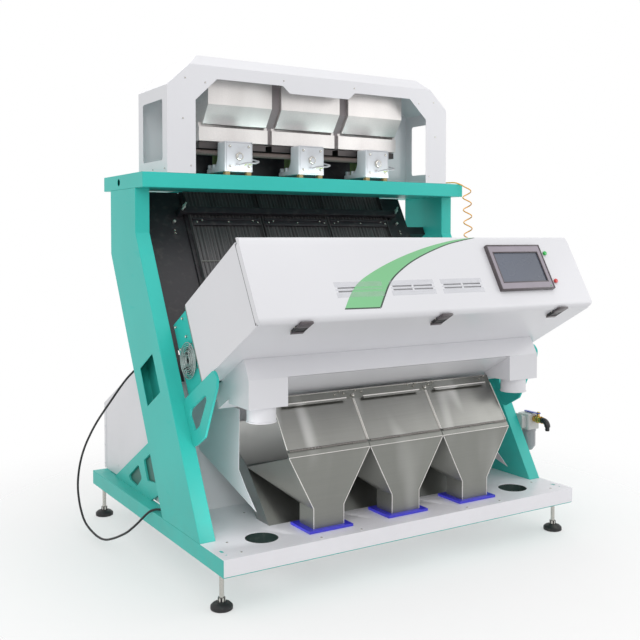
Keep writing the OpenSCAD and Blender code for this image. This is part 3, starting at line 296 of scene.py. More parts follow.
@dataclass(frozen=True)
class Paint(Finish):
    """Sprayed paint: an orange-peel skin, broad drift in tone, scuffs and dust near the floor."""

    rough: float = 0.34
    coat: float = 0.2
    peel: float = 0.06
    dust: float = 0.25
    drift: float = 0.9
    gloss: float = 0.5

    def build(self) -> bpy.types.Material:
        """Makes the paint."""
        recipe = Recipe(self.name)
        cloud = recipe.noise(2.4, 3.0)
        scuff = recipe.step(recipe.noise(7.0, 6.0, (1, 1, 5), 3.1), 0.60, 0.74)
        speck = recipe.step(recipe.noise(95.0, 4.0, start=7.7), 0.68, 0.76)
        low = recipe.step(recipe.along("Z"), 0.55, 0.10) * recipe.noise(16.0, 5.0, start=1.3)
        base = recipe.mix(cloud, shade(self.colour, self.drift), shade(self.colour, 2 - self.drift))
        base = recipe.mix((low + speck * 0.35) * self.dust, base, DUST)
        rough = self.rough + scuff * 0.10 + low * 0.16 + speck * 0.1
        skin = recipe.noise(380.0, 2.0)
        sockets = {
            "Base Color": base,
            "Roughness": rough,
            "Normal": recipe.bump(skin, self.peel, 0.0006),
            "Specular IOR Level": self.gloss,
            "Coat Weight": self.coat,
            "Coat Roughness": 0.12,
        }
        return recipe.close(sockets)


@dataclass(frozen=True)
class Steel(Finish):
    """Sheet or turned metal with a rolling grain, cloudy patches, smudges, fine scratches, painted
    highlights.
    """

    rough: float = 0.26
    grain: Triple = (4.0, 220.0, 220.0)
    cloud: float = 0.07
    metal: float = 1.0
    patch: Triple = (5.5, 5.5, 5.5)
    painted_highlight: float = 0.0

    def build(self) -> bpy.types.Material:
        """Makes the metal."""
        recipe = Recipe(self.name)
        streak = recipe.noise(1.0, 4.0, self.grain)
        patch = recipe.noise(1.0, 4.0, self.patch, 2.0)
        smudge = recipe.step(recipe.noise(13.0, 6.0, start=5.0), 0.52, 0.74)
        scratch = recipe.step(recipe.noise(30.0, 2.0, (1, 14, 3), 9.0), 0.70, 0.74)
        mark = patch * 0.75 + streak * 0.25
        low, high = shade(self.colour, 1 - self.cloud), shade(self.colour, 1 + self.cloud)
        base = recipe.mix(mark, low, high)
        # Painted highlights: soft near-white streaks mixed into the base colour at the given
        # strength.
        if self.painted_highlight > 0.0:
            highlight_mask = recipe.step(recipe.noise(1.0, 1.0, (8.0, 1.8, 1.8), 11.0), 0.54, 0.76)
            base = recipe.mix(highlight_mask * self.painted_highlight, base, tone(246, 245, 243))
        rough = self.rough + streak * 0.06 + smudge * 0.06 + scratch * 0.05 - 0.04
        sockets = {
            "Base Color": base,
            "Metallic": self.metal,
            "Roughness": rough,
            "Normal": recipe.bump(streak + scratch * 0.4, 0.02, 0.0003),
        }
        return recipe.close(sockets)


@dataclass(frozen=True)
class Moulded(Finish):
    """Moulded plastic, rubber or cast housing: fine grain, dull patches and a little dust."""

    rough: float = 0.42
    coat: float = 0.0
    grain: float = 900.0
    relief: float = 0.12
    dust: float = 0.12

    def build(self) -> bpy.types.Material:
        """Makes the plastic."""
        recipe = Recipe(self.name)
        cloud = recipe.noise(9.0, 4.0)
        dust = recipe.step(recipe.noise(38.0, 5.0, start=4.0), 0.5, 0.8)
        skin = recipe.noise(self.grain, 2.0)
        base = recipe.mix(cloud, shade(self.colour, 0.86), shade(self.colour, 1.12))
        base = recipe.mix(dust * self.dust, base, DUST)
        sockets = {
            "Base Color": base,
            "Roughness": self.rough + cloud * 0.10 + dust * 0.14 - 0.05,
            "Normal": recipe.bump(skin, self.relief, 0.0004),
            "Coat Weight": self.coat,
            "Coat Roughness": 0.15,
        }
        return recipe.close(sockets)


@dataclass(frozen=True)
class Grooved(Finish):
    """Black hard-coated chute with fine grooves down the slide and worn, paler tracks."""

    rough: float = 0.42
    grooves: float = 62.0

    def build(self) -> bpy.types.Material:
        """Makes the coating."""
        recipe = Recipe(self.name)
        across = recipe.along("X") * (self.grooves * math.tau)
        wave = recipe.node("ShaderNodeMath", {"operation": "SINE"}, {0: across})
        worn = recipe.noise(1.0, 4.0, (26, 2, 2))
        base = recipe.mix(worn, shade(self.colour, 0.6), shade(self.colour, 1.6))
        base = recipe.mix(recipe.step(wave, 0.2, 0.9) * 0.35, base, shade(self.colour, 3.0))
        sockets = {
            "Base Color": base,
            "Roughness": self.rough + worn * 0.16 - 0.08,
            "Metallic": 0.35,
            "Normal": recipe.bump(wave, 0.35, 0.0012),
        }
        return recipe.close(sockets)


@dataclass(frozen=True)
class Clear(Finish):
    """Clear or tinted glass and film with faint smudges."""

    rough: float = 0.03
    through: float = 0.95
    alpha: float = 1.0

    def build(self) -> bpy.types.Material:
        """Makes the glass."""
        recipe = Recipe(self.name)
        smudge = recipe.step(recipe.noise(22.0, 5.0), 0.45, 0.75)
        base = recipe.mix(smudge, self.colour, shade(self.colour, 0.88))
        sockets = {
            "Base Color": base,
            "Roughness": self.rough + smudge * 0.08,
            "Transmission Weight": self.through,
            "IOR": 1.46,
            "Alpha": self.alpha,
        }
        return recipe.close(sockets)


@dataclass(frozen=True)
class Display(Finish):
    """A switched-off flat screen: dark glass with finger marks and a painted reflection, a pale
    glare fading across it.
    """

    def build(self) -> bpy.types.Material:
        """Makes the screen."""
        recipe = Recipe(self.name)
        # Painted reflection: paler at one side of the screen, fading across it.
        painted_glare = recipe.step(recipe.along("X"), 0.25, 0.52)
        marks = recipe.step(recipe.noise(17.0, 6.0), 0.48, 0.72)
        pale, dark = shade(self.colour, 1.12), shade(self.colour, 0.82)
        base = recipe.mix(painted_glare * 0.7 + marks * 0.3, pale, dark)
        sockets = {
            "Base Color": base,
            "Roughness": 0.24 + marks * 0.16,
            "Coat Weight": 0.35,
            "Coat Roughness": 0.08,
        }
        return recipe.close(sockets)


FLAT = (160.0, 6.0, 160.0)
TURNED = (300.0, 300.0, 300.0)
UPRIGHT = (160.0, 160.0, 6.0)
FINISHES: tuple[Finish, ...] = (
    Paint("frame_green", tone(62, 201, 190), rough=0.36, coat=0.04, peel=0.10, gloss=0.18),
    Paint("cover_white", tone(228, 228, 232), rough=0.33, coat=0.25, drift=0.97, dust=0.16),
    Paint("deck_white", tone(242, 241, 246), rough=0.33, coat=0.25, drift=0.97, dust=0.1),
    Paint("swoosh_green", tone(126, 196, 140), "spring_green", rough=0.36, coat=0.35, drift=0.86,
          peel=0.03),
    Paint("swoosh_edge", tone(52, 70, 58), "black_plastic", rough=0.4, coat=0.2, peel=0.03),
    Steel("stainless", tone(136, 137, 132), rough=0.34, cloud=0.22, patch=(4.5, 1.3, 1.3),
          painted_highlight=0.14, metal=0.65),
    # Lit copy of the stainless: lighter than the funnels as painted light, with strong painted
    # highlights.
    Steel("lit_door_steel", tone(148, 148, 144), "stainless", rough=0.3, cloud=0.28,
          patch=(4.5, 1.1, 1.1), painted_highlight=0.5),
    Steel("hinge_steel", tone(126, 122, 119), "stainless", rough=0.4),
    # Near-white steel for painted highlights along lips and folded edges.
    Steel("highlight_steel", tone(236, 233, 229), "stainless", rough=0.5, metal=0.4),
    Steel("guard_steel", tone(172, 182, 180), "stainless", rough=0.5),
    Steel("bin_steel", tone(222, 218, 216), rough=0.38, grain=FLAT, cloud=0.3,
          patch=(6.0, 1.2, 1.2), painted_highlight=0.3, metal=0.7),
    Steel("trough_steel", tone(160, 161, 159), rough=0.34, grain=UPRIGHT),
    Steel("dark_steel", tone(132, 132, 132), "stainless", rough=0.4),
    # Painted shade: the feed trays darkened as if shaded under the spouts.
    Steel("shaded_tray_steel", tone(84, 80, 80), rough=0.45),
    Steel("knob_steel", tone(224, 222, 216), "stainless", rough=0.5, grain=TURNED),
    Steel("screw_steel", tone(196, 194, 188), "stainless", rough=0.22, grain=TURNED),
    Steel("brass", tone(206, 172, 92), rough=0.24, grain=TURNED),
    Moulded("black_coat", tone(38, 35, 40), rough=0.46, grain=500.0, relief=0.18),
    Grooved("chute_black", tone(74, 73, 74)),
    Moulded("black_plastic", tone(28, 28, 30), rough=0.36),
    # Painted light: the grey of lit hopper walls, for the strips in the gaps between the hoppers.
    Moulded("lit_gap_grey", tone(132, 124, 126), "stainless", rough=0.4, grain=500.0),
    Moulded("conduit_grey", tone(108, 96, 92), "black_plastic", rough=0.5, relief=0.25),
    Paint("brace_shadow", tone(24, 104, 94), "frame_green", rough=0.5, coat=0.1),
    Moulded("latch_grey", tone(78, 70, 74), "black_plastic", rough=0.34, coat=0.3),
    Moulded("fan_grey", tone(64, 96, 92), rough=0.5),
    # Painted shade: dark liners that darken the hose holes.
    Moulded("hole_shade", tone(26, 50, 46), "rubber", rough=0.6),
    Moulded("seam_grey", tone(104, 103, 108), "cover_white", rough=0.5),
    Moulded("rubber", tone(34, 34, 36), rough=0.58, grain=420.0, relief=0.22, dust=0.25),
    Moulded("mount_brown", tone(140, 116, 70), rough=0.6, grain=300.0, relief=0.3, dust=0.3),
    Moulded("spring_green", tone(110, 130, 84), rough=0.45, coat=0.2),
    Moulded("cast_grey", tone(202, 204, 209), rough=0.36, coat=0.25, grain=520.0, relief=0.1),
    Clear("glass", tone(226, 238, 238)),
    Clear("vent_film", tone(214, 216, 222), "glass", through=0.0, alpha=0.24, rough=0.2),
    Moulded("lamp", tone(240, 242, 246), rough=0.2, coat=0.6, dust=0.02),
    Display("screen", tone(92, 98, 112)),
    Moulded("bezel", tone(158, 150, 160), rough=0.4, coat=0.15),
    Moulded("bezel_edge", tone(78, 70, 74), "bezel", rough=0.38, coat=0.2),
    Moulded("green_cap", tone(0, 184, 72), rough=0.22, coat=0.7, dust=0.02),
    Moulded("red_cap", tone(214, 34, 30), rough=0.22, coat=0.7, dust=0.02),
    Moulded("blue_flange", tone(64, 62, 214), rough=0.34, coat=0.3, dust=0.05),
    Moulded("bowl", tone(150, 154, 158), rough=0.2, coat=0.6, dust=0.1),
    Moulded("filter_grey", tone(206, 208, 206), rough=0.4, coat=0.1),
    Moulded("blue_lever", tone(36, 62, 186), rough=0.3, coat=0.5, dust=0.04),
    Moulded("hose_orange", tone(255, 178, 46), rough=0.26, coat=0.6, dust=0.03),
    Moulded("lead_grey", tone(166, 166, 170), rough=0.44),
    Moulded("earth_wire", tone(168, 186, 40), "lead_grey", rough=0.4, dust=0.02),
    Moulded("cable_black", tone(20, 20, 22), "rubber", rough=0.5),
)


class Finishes:
    """Every finish of the machine, built once each."""

    def __init__(self) -> None:
        """Builds the materials under their names."""
        self._made = {kind.name: kind.build() for kind in FINISHES}
        self.slots = {kind.name: kind.slot or kind.name for kind in FINISHES}

    def __getitem__(self, name: str) -> bpy.types.Material:
        """The material of that name."""
        return self._made[name]


class Workshop:
    """What the sub-assemblies share: the loaded frame, the finishes and the way a piece is kept."""

    weld_gap = 2e-6
    flat_angle = math.radians(0.6)
    edge_angle = math.radians(28.0)

    def __init__(self) -> None:
        """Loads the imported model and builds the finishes."""
        self.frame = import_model()
        self.cad_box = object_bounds()
        self.finishes = Finishes()

    def dress(self, node: str, finish: str, edge: float = 0.6, segments: int = 2) -> None:
        """Gives a CAD node its finish and rounds its edges for the eye.

        Args:
            node: The node's name.
            finish: The finish's name.
            edge: Width of the rounding in millimetres, 0 for none.
            segments: Faces across the rounding.
        """
        piece = self.frame["nodes"][node]
        piece.data.materials.clear()
        piece.data.materials.append(self.finishes[finish])
        for face in piece.data.polygons:
            face.use_smooth = True
        weld = piece.modifiers.new("weld", "WELD")
        weld.merge_threshold = self.weld_gap
        flat = piece.modifiers.new("flat", "DECIMATE")
        flat.decimate_type = "DISSOLVE"
        flat.angle_limit = self.flat_angle
        if edge > 0.0:
            bevel = piece.modifiers.new("edge", "BEVEL")
            bevel.width = edge * MM
            bevel.segments = segments
            bevel.limit_method = "ANGLE"
            bevel.angle_limit = self.edge_angle
            bevel.use_clamp_overlap = False
            bevel.miter_outer = "MITER_ARC"
        else:
            split = piece.modifiers.new("split", "EDGE_SPLIT")
            split.split_angle = self.edge_angle
        normals = piece.modifiers.new("normals", "WEIGHTED_NORMAL")
        normals.keep_sharp = True
        LOG.info("dressed %s in %s", node, finish)

    def dress_all(self, looks: Iterable[Look]) -> None:
        """Dresses nodes, each given by what dress takes."""
        for look in looks:
            self.dress(*look)

    def place(
        self,
        piece: bpy.types.Object,
        finish: str,
        body: str = "machine",
        stands_for: Iterable[str] = (),
    ) -> None:
        """Gives a new piece its finish and its body.

        Args:
            piece: The piece, in place.
            finish: The finish's name.
            body: The CAD body that it moves with.
            stands_for: CAD nodes that it replaces.
        """
        piece.data.materials.clear()
        piece.data.materials.append(self.finishes[finish])
        nodes = tuple(stands_for)
        if nodes:
            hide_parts(*nodes)
        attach(piece, body)
        LOG.info("made %s on %s", piece.name, body)

    def keep(
        self,
        mould: Mould,
        name: str,
        finish: str,
        body: str = "machine",
        stands_for: Iterable[str] = (),
    ) -> None:
        """Casts a mould under a name and places the piece as place does."""
        self.place(mould.cast(name), finish, body, stands_for)


def once(items: Iterable) -> list:
    """The items without repeats, in the order in which they come."""
    return list(dict.fromkeys(items))


class Mould:
    """A bmesh in millimetres that becomes one piece."""

    taper = 0.92
    socket = 0.16
    socket_depth = 0.55

    def __init__(self, place: Place = Place.MACHINE, smooth: float = 35.0) -> None:
        """Starts empty.

        Args:
            place: The frame in which it is drawn.
            smooth: Angle in degrees below which its faces run into each other.
        """
        self.bm = bmesh.new()
        self.place = place
        self.smooth = smooth

    def _turn(self, verts: list, at: Point, axis: Point) -> None:
        """Turns new vertices so that their Z follows an axis, and moves them to a point."""
        turn = Vector(axis).normalized().to_track_quat("Z", "Y").to_matrix().to_4x4()
        matrix = Matrix.Translation(Vector(at)) @ turn
        bmesh.ops.transform(self.bm, matrix=matrix, verts=verts)

    def _round(self, edges: Iterable, width: float) -> None:
        """Rounds edges, each taken once."""
        bmesh.ops.bevel(
            self.bm, geom=once(edges), offset=width, offset_type="OFFSET", segments=2,
            profile=0.5, affect="EDGES", clamp_overlap=True, material=-1,
        )

    def block(self, x: Point, y: Point, z: Point, edge: float = 0.0) -> Mould:
        """A block between two bounds on each axis.

        Args:
            x, y, z: Lowest and highest value on each axis.
            edge: Rounding of its edges.

        Returns:
            This mould.
        """
        verts = bmesh.ops.create_cube(self.bm, size=1.0)["verts"]
        size = Vector((x[1] - x[0], y[1] - y[0], z[1] - z[0]))
        middle = Vector((x[0] + x[1], y[0] + y[1], z[0] + z[1])) / 2
        bmesh.ops.scale(self.bm, vec=size, verts=verts)
        bmesh.ops.translate(self.bm, vec=middle, verts=verts)
        if edge > 0.0:
            self._round((e for v in verts for e in v.link_edges), edge)
        return self

    def rod(
        self,
        at: Point,
        axis: Point,
        length: float,
        radius: float,
        tip: float | None = None,
        sides: int = 20,
        edge: float = 0.0,
    ) -> Mould:
        """A rod or cone from a point along an axis.

        Args:
            at: Middle of its first end.
            axis: Its direction.
            length: Its length.
            radius: Radius at the first end.
            tip: Radius at the far end, the same if left out.
            sides: Faces round it.
            edge: Rounding of its far rim.

        Returns:
            This mould.
        """
        far = radius if tip is None else tip
        verts = bmesh.ops.create_cone(
            self.bm, cap_ends=True, cap_tris=False, segments=sides,
            radius1=radius, radius2=far, depth=length,
        )["verts"]
        bmesh.ops.translate(self.bm, vec=(0, 0, length / 2), verts=verts)
        top = {v for v in verts if v.co.z > length * 0.99}
        rim = [e for v in verts for e in v.link_edges if top.issuperset(e.verts)]
        self._turn(verts, at, axis)
        if edge > 0.0:
            self._round(rim, edge)
        return self

    def screw(self, at: Point, axis: Point, width: float, height: float) -> Mould:
        """A screw head with a six-sided socket, standing on a face.

        Args:
            at: Middle of its underside.
            axis: Direction out of the face.
            width: Diameter of the head.
            height: Height of the head.

        Returns:
            This mould.
        """
        first = len(self.bm.verts)
        self.rod(at, axis, height, width / 2, width / 2 * self.taper, sides=12)
        self.bm.verts.ensure_lookup_table()
        self.bm.normal_update()
        out = Vector(axis).normalized()
        faces = once(f for v in self.bm.verts[first:] for f in v.link_faces)
        caps = [f for f in faces if len(f.verts) > 4 and f.normal.dot(out) > 0.9]
        thickness = width * self.socket
        bmesh.ops.inset_region(self.bm, faces=caps, thickness=thickness, depth=0.0)
        sunk = once(v for f in caps for v in f.verts)
        bmesh.ops.translate(self.bm, vec=-out * height * self.socket_depth, verts=sunk)
        return self

    def screws(self, spots: Iterable[Point], axis: Point, width: float, height: float) -> Mould:
        """A screw at each of the spots, as screw makes it."""
        for at in spots:
            self.screw(at, axis, width, height)
        return self

    def dome(self, at: Point, axis: Point, width: float, height: float) -> Mould:
        """A low rounded head, such as a rivet or a dimple.

        Args:
            at: Middle of its underside.
            axis: Direction out of the face.
            width: Diameter.
            height: Height.

        Returns:
            This mould.
        """
        steps = [math.radians(a) for a in (0, 25, 50, 75)]
        profile = [(width / 2 * math.cos(a), height * math.sin(a)) for a in steps]
        return self.lathe(profile + [(0.0, height)], at, axis, 12)

    def lathe(self, profile: Sequence[Point], at: Point, axis: Point, sides: int = 32) -> Mould:
        """A turned shape.

        Args:
            profile: Radius and height of each point, from first to last.
            at: Where the profile's height 0 is.
            axis: The turning axis.
            sides: Faces round it.

        Returns:
            This mould.
        """
        verts = [self.bm.verts.new((radius, 0.0, height)) for radius, height in profile]
        edges = [self.bm.edges.new(pair) for pair in zip(verts, verts[1:])]
        made = bmesh.ops.spin(
            self.bm, geom=verts + edges, cent=(0, 0, 0), axis=UP, angle=math.tau,
            steps=sides, use_merge=True,
        )
        seeds = [g for g in made["geom_last"] if isinstance(g, bmesh.types.BMVert)] + verts
        shell = self._linked([v for v in seeds if v.is_valid])
        bmesh.ops.remove_doubles(self.bm, verts=shell, dist=1e-4)
        shell = self._linked([v for v in seeds if v.is_valid])
        faces = once(f for v in shell for f in v.link_faces)
        bmesh.ops.recalc_face_normals(self.bm, faces=faces)
        self._turn(shell, at, axis)
        return self

    def _linked(self, seeds: list) -> list:
        """All vertices that are joined to the seeds, each once."""
        found, queue = dict.fromkeys(seeds), list(seeds)
        while queue:
            for edge in queue.pop().link_edges:
                for vert in edge.verts:
                    if vert not in found:
                        found[vert] = None
                        queue.append(vert)
        return list(found)

    def plate(self, outline: Sequence[Point], thickness: Point, edge: float = 0.0) -> Mould:
        """A flat outline pushed through a thickness.

        Args:
            outline: Points in space, on one plane.
            thickness: The push, as a vector.
            edge: Rounding of all edges.

        Returns:
            This mould.
        """
        face = self.bm.faces.new([self.bm.verts.new(p) for p in outline])
        made = bmesh.ops.extrude_face_region(self.bm, geom=[face], use_keep_orig=True)
        verts = [g for g in made["geom"] if isinstance(g, bmesh.types.BMVert)]
        bmesh.ops.translate(self.bm, vec=thickness, verts=verts)
        faces = once(f for v in verts + list(face.verts) for f in v.link_faces)
        bmesh.ops.recalc_face_normals(self.bm, faces=faces)
        if edge > 0.0:
            self._round((e for f in faces for e in f.edges), edge)
        return self

    def mirrored(self) -> Mould:
        """Adds the other half, mirrored in X."""
        whole = self.bm.verts[:] + self.bm.edges[:] + self.bm.faces[:]
        copy = bmesh.ops.duplicate(self.bm, geom=whole)
        verts = [g for g in copy["geom"] if isinstance(g, bmesh.types.BMVert)]
        faces = [g for g in copy["geom"] if isinstance(g, bmesh.types.BMFace)]
        bmesh.ops.scale(self.bm, vec=(-1, 1, 1), verts=verts)
        bmesh.ops.reverse_faces(self.bm, faces=faces)
        return self

    def cast(self, name: str) -> bpy.types.Object:
        """Turns the bmesh into an object of that name at the origin, with its place in its mesh."""
        bmesh.ops.transform(self.bm, matrix=self.place.to_row(), verts=self.bm.verts[:])
        mesh = bpy.data.meshes.new(name)
        self.bm.to_mesh(mesh)
        self.bm.free()
        mesh.shade_smooth()
        mesh.set_sharp_from_angle(angle=math.radians(self.smooth))
        piece = bpy.data.objects.new(name, mesh)
        bpy.context.scene.collection.objects.link(piece)
        return piece


def smooth_route(points: Sequence[Point], count: int) -> list[Vector]:
    """Points along a smooth line through a route.

    Args:
        points: The route's points.
        count: How many points to return.

    Returns:
        Points on a Catmull-Rom line, the route's ends included.
    """
    knots = [Vector(p) for p in points]
    knots = [2 * knots[0] - knots[1]] + knots + [2 * knots[-1] - knots[-2]]
    spans = len(points) - 1
    found = []
    for i in range(count):
        along = i * spans / (count - 1)
        k = min(int(along), spans - 1)
        t = along - k
        a, b, c, d = knots[k : k + 4]
        square, cube = 2 * a - 5 * b + 4 * c - d, 3 * b - a - 3 * c + d
        found.append(0.5 * (2 * b + (c - a) * t + square * t**2 + cube * t**3))
    return found


def tube(name: str, points: Sequence[Vector], diameter: float) -> bpy.types.Object:
    """A round tube along points of the machine frame, as a curve of one open spline.

    Args:
        name: The object's name.
        points: Its line, in millimetres.
        diameter: Its diameter, in millimetres.

    Returns:
        The curve object, in the row frame.
    """
    matrix = Place.MACHINE.to_row()
    curve = bpy.data.curves.new(name, "CURVE")
    curve.dimensions = "3D"
    curve.bevel_depth = diameter * MM / 2
    curve.bevel_resolution = 4
    curve.resolution_u = 6
    curve.use_fill_caps = True
    spline = curve.splines.new("BEZIER")
    spline.bezier_points.add(len(points) - 1)
    for knot, point in zip(spline.bezier_points, points):
        knot.co = matrix @ point
        knot.handle_left_type = knot.handle_right_type = "AUTO"
    piece = bpy.data.objects.new(name, curve)
    bpy.context.scene.collection.objects.link(piece)
    return piece


def run_length(points: Sequence[Vector]) -> float:
    """Length of a line through points, in metres, from millimetres."""
    return sum((b - a).length for a, b in zip(points, points[1:])) * MM


@dataclass
class Studio:
    """Camera, lamps, world and floor."""

    camera_at: Triple = (-2.11945, -3.24275, 1.24426)
    camera_turn: Triple = (87.96, 0.0, -31.90)
    lens: float = 50.57
    shift: Pair = (0.0008, -0.0780)
    world_level: float = 0.68
    floor_fade: Pair = (0.9, 2.2)
    floor_thin: float = 0.45

    def build(self) -> None:
        """Sets up the whole studio."""
        scene = bpy.context.scene
        scene.view_settings.view_transform = "Standard"
        self._camera(scene)
        self._world(scene)
        self._lamp("key", (-3.2, -3.4, 3.6), 43.0, 2.6)
        self._lamp("fill", (3.6, -2.6, 2.2), 26.0, 2.4)
        self._lamp("top", (0.2, -1.2, 4.6), 30.0, 3.0)
        self._lamp("back", (1.5, 4.2, 3.0), 30.0, 3.0)
        for lane, power in zip(LANES, (0.18, 0.12, 0.12)):
            x = (lane * PITCH - SHIFT.x) * MM
            at, aim = (x - 0.208, -0.47, 0.215), (x - 0.115, -0.42, 0.37)
            self._lamp("spout", at, power, 0.12, aim=aim)
        self._lamp("panel", (-0.745, -0.56, 0.42), 0.3, 0.06, 0.3, (-0.685, -0.2, 0.45))
        self._lamp("bay", (-0.045, 0.125, 1.515), 0.55, 1.15, 0.03, (-0.045, 0.2, 1.8))
        self._floor()

    def _camera(self, scene: bpy.types.Scene) -> None:
        """The camera at the photograph's viewpoint."""
        data = bpy.data.cameras.new("view")
        data.lens = self.lens
        data.sensor_width = 36.0
        data.sensor_fit = "HORIZONTAL"
        data.shift_x, data.shift_y = self.shift
        data.clip_end = 100.0
        camera = bpy.data.objects.new("view", data)
        camera.location = self.camera_at
        camera.rotation_euler = [math.radians(angle) for angle in self.camera_turn]
        scene.collection.objects.link(camera)
        scene.camera = camera

    def _world(self, scene: bpy.types.Scene) -> None:
        """White to the eye and in reflections, softer as a light."""
        world = bpy.data.worlds.new("studio")
        world.use_nodes = True
        tree = world.node_tree
        tree.nodes.clear()
        rays = tree.nodes.new("ShaderNodeLightPath")
        level = tree.nodes.new("ShaderNodeMapRange")
        level.inputs["To Min"].default_value = self.world_level
        level.inputs["To Max"].default_value = 1.0
        sky = tree.nodes.new("ShaderNodeBackground")
        sky.inputs["Color"].default_value = (1.0, 1.0, 1.0, 1.0)
        output = tree.nodes.new("ShaderNodeOutputWorld")
        seen = rays.outputs["Is Camera Ray"]
        for kind in ("Is Glossy Ray", "Is Transmission Ray"):
            either = tree.nodes.new("ShaderNodeMath")
            either.operation = "MAXIMUM"
            tree.links.new(seen, either.inputs[0])
            tree.links.new(rays.outputs[kind], either.inputs[1])
            seen = either.outputs[0]
        tree.links.new(seen, level.inputs["Value"])
        tree.links.new(level.outputs[0], sky.inputs["Strength"])
        tree.links.new(sky.outputs[0], output.inputs["Surface"])
        scene.world = world

    def _lamp(
        self,
        name: str,
        at: Point,
        power: float,
        size: float,
        depth: float = 0.0,
        aim: Point = (0.0, 0.0, 0.9),
    ) -> None:
        """A soft lamp.

        Args:
            name: Its name.
            at: Where it is, in the row frame.
            power: Its power in watts.
            size: Its width.
            depth: Its other side, 0 for a square.
            aim: The point that it faces.
        """
        data = bpy.data.lights.new(name, "AREA")
        data.energy = power
        data.shape = "RECTANGLE"
        data.size, data.size_y = size, depth or size
        lamp = bpy.data.objects.new(name, data)
        lamp.location = at
        lamp.rotation_euler = (Vector(aim) - Vector(at)).to_track_quat("-Z", "Y").to_euler()
        lamp.visible_camera = False
        bpy.context.scene.collection.objects.link(lamp)

    def _floor(self) -> None:
        """A wide white floor."""
        bm = bmesh.new()
        bmesh.ops.create_grid(bm, x_segments=1, y_segments=1, size=60.0)
        mesh = bpy.data.meshes.new("floor")
        bm.to_mesh(mesh)
        bm.free()
        floor = bpy.data.objects.new("floor", mesh)
        floor.location.z = -0.0005
        bpy.context.scene.collection.objects.link(floor)
        recipe = Recipe("floor_white")
        drift = recipe.noise(0.8, 2.0)
        colour = recipe.mix(drift, (0.95, 0.95, 0.95, 1.0), (0.97, 0.97, 0.97, 1.0))
        matt = recipe.node("ShaderNodeBsdfDiffuse", inputs={"Color": colour})
        clear = recipe.node("ShaderNodeBsdfTransparent")
        ends = {0: recipe.place, 1: (0.0, 0.1, 0.0)}
        reach = recipe.node("ShaderNodeVectorMath", {"operation": "DISTANCE"}, ends, "Value")
        fade = recipe.step(reach, *self.floor_fade) * (1 - self.floor_thin) + self.floor_thin
        recipe.node_output(recipe.node("ShaderNodeMixShader", inputs={0: fade, 1: matt, 2: clear}))
        mesh.materials.append(recipe.material)
        floor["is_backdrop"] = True


@dataclass
class Cords:
    """Power cable, coiled air hose, and the supply and earth leads of the three drives."""

    cable_d: float = 9.0
    hose_d: float = 6.0
    coil_d: float = 45.0
    coil_pitch: float = 60.0
    coil_ease: float = 130.0
    coil_slow: float = 0.2
    coil_z: Pair = (1000.0, 1483.0)
    coil_start: float = -122.0
    coil_lean: float = 16.0
    drop: Pair = (838.0, 690.0)
    lead_d: float = 7.0
    lead_bend: float = 27.0
    lead_z: Pair = (24.0, 60.0)
    earth_d: float = 2.6
    boot: Points = (
        (0, -2), (8.4, -2), (8.4, 4), (7.2, 6), (5.3, 30), (4.2, 31), (0, 31),
    )
    boot_axis: Point = (0, 0.871, -0.491)
    cable_points: int = 36
    tail_points: int = 16
    coil_steps: int = 16
    earth_steps: int = 24
    hose_end: Triple = (992.0, 981.0, 970.0)
    hose_spare: float = 1.004
    cable: Points = (
        (-780, 854, 722), (-781, 880, 707), (-808, 922, 660), (-850, 965, 580),
        (-890, 1085, 445), (-918, 1165, 310), (-935, 1170, 180), (-938, 1100, 75),
        (-932, 1000, 35), (-918, 870, 32), (-890, 730, 88), (-864, 664, 138),
        (-828, 636, 184), (-807, 619, 200), (-783, 596, 204), (-780, 569, 217),
    )
    tail: Points = (
        (745, 850, 1515), (748, 815, 1514), (762, 768, 1512), (776, 725, 1511),
        (788, 698, 1502), (800.3, 680.7, 1489.6), (811.7, 673.5, 1483),
    )

    def build(self, shop: Workshop) -> None:
        """Makes all cords."""
        self._cable(shop)
        self._hose(shop)
        for lane in LANES:
            self._lead(shop, lane)

    def _exit(self, point: Vector) -> Vector:
        """A machine point in the row frame."""
        return Place.MACHINE.to_row() @ point

    def _cable(self, shop: Workshop) -> None:
        """Power cable from the left post's upper gland to the floor and up to the lower one."""
        line = smooth_route(self.cable, self.cable_points)
        piece = tube("power_cable_run", line, self.cable_d)
        shop.place(piece, "cable_black", stands_for=["power_cable"])
        boots = Mould()
        for end in (line[0], line[-1]):
            boots.lathe(self.boot, tuple(end), self.boot_axis, 24)
        shop.keep(boots, "cable_boots", "cable_black")
        self._exit(line[0])
        round(run_length(line), 3)

    def _hose(self, shop: Workshop) -> None:
        """Air hose: a short tail from the top frame, then a coil down to the lower fitting."""
        line = smooth_route(self.tail, self.tail_points)[:-1]
        low, high = self.coil_z
        reach = (self.coil_d - self.hose_d) / 2
        turns = (high - low) / self.coil_pitch
        steps = int(turns * self.coil_steps)
        angle = math.radians(self.coil_start)
        for i in range(steps + 1):
            t = i / steps
            grow = min(1.0, (1 - t) * (high - low) / self.coil_ease)
            grow = 3 * grow**2 - 2 * grow**3
            radius = reach * grow
            x = self.drop[0] - self.coil_lean * (1 - t) ** 2 + radius * math.cos(angle)
            y = self.drop[1] + radius * math.sin(angle)
            line.append(Vector((x, y, high + (low - high) * t)))
            angle += math.tau * turns / steps * (self.coil_slow + (1 - self.coil_slow) * grow)
        line += [Vector((*self.drop, z)) for z in self.hose_end]
        piece = tube("air_hose_run", line, self.hose_d)
        shop.place(piece, "hose_orange", stands_for=["hose_tail", "hose_coil"])
        self._exit(line[0])
        round(run_length(line) * self.hose_spare, 3)

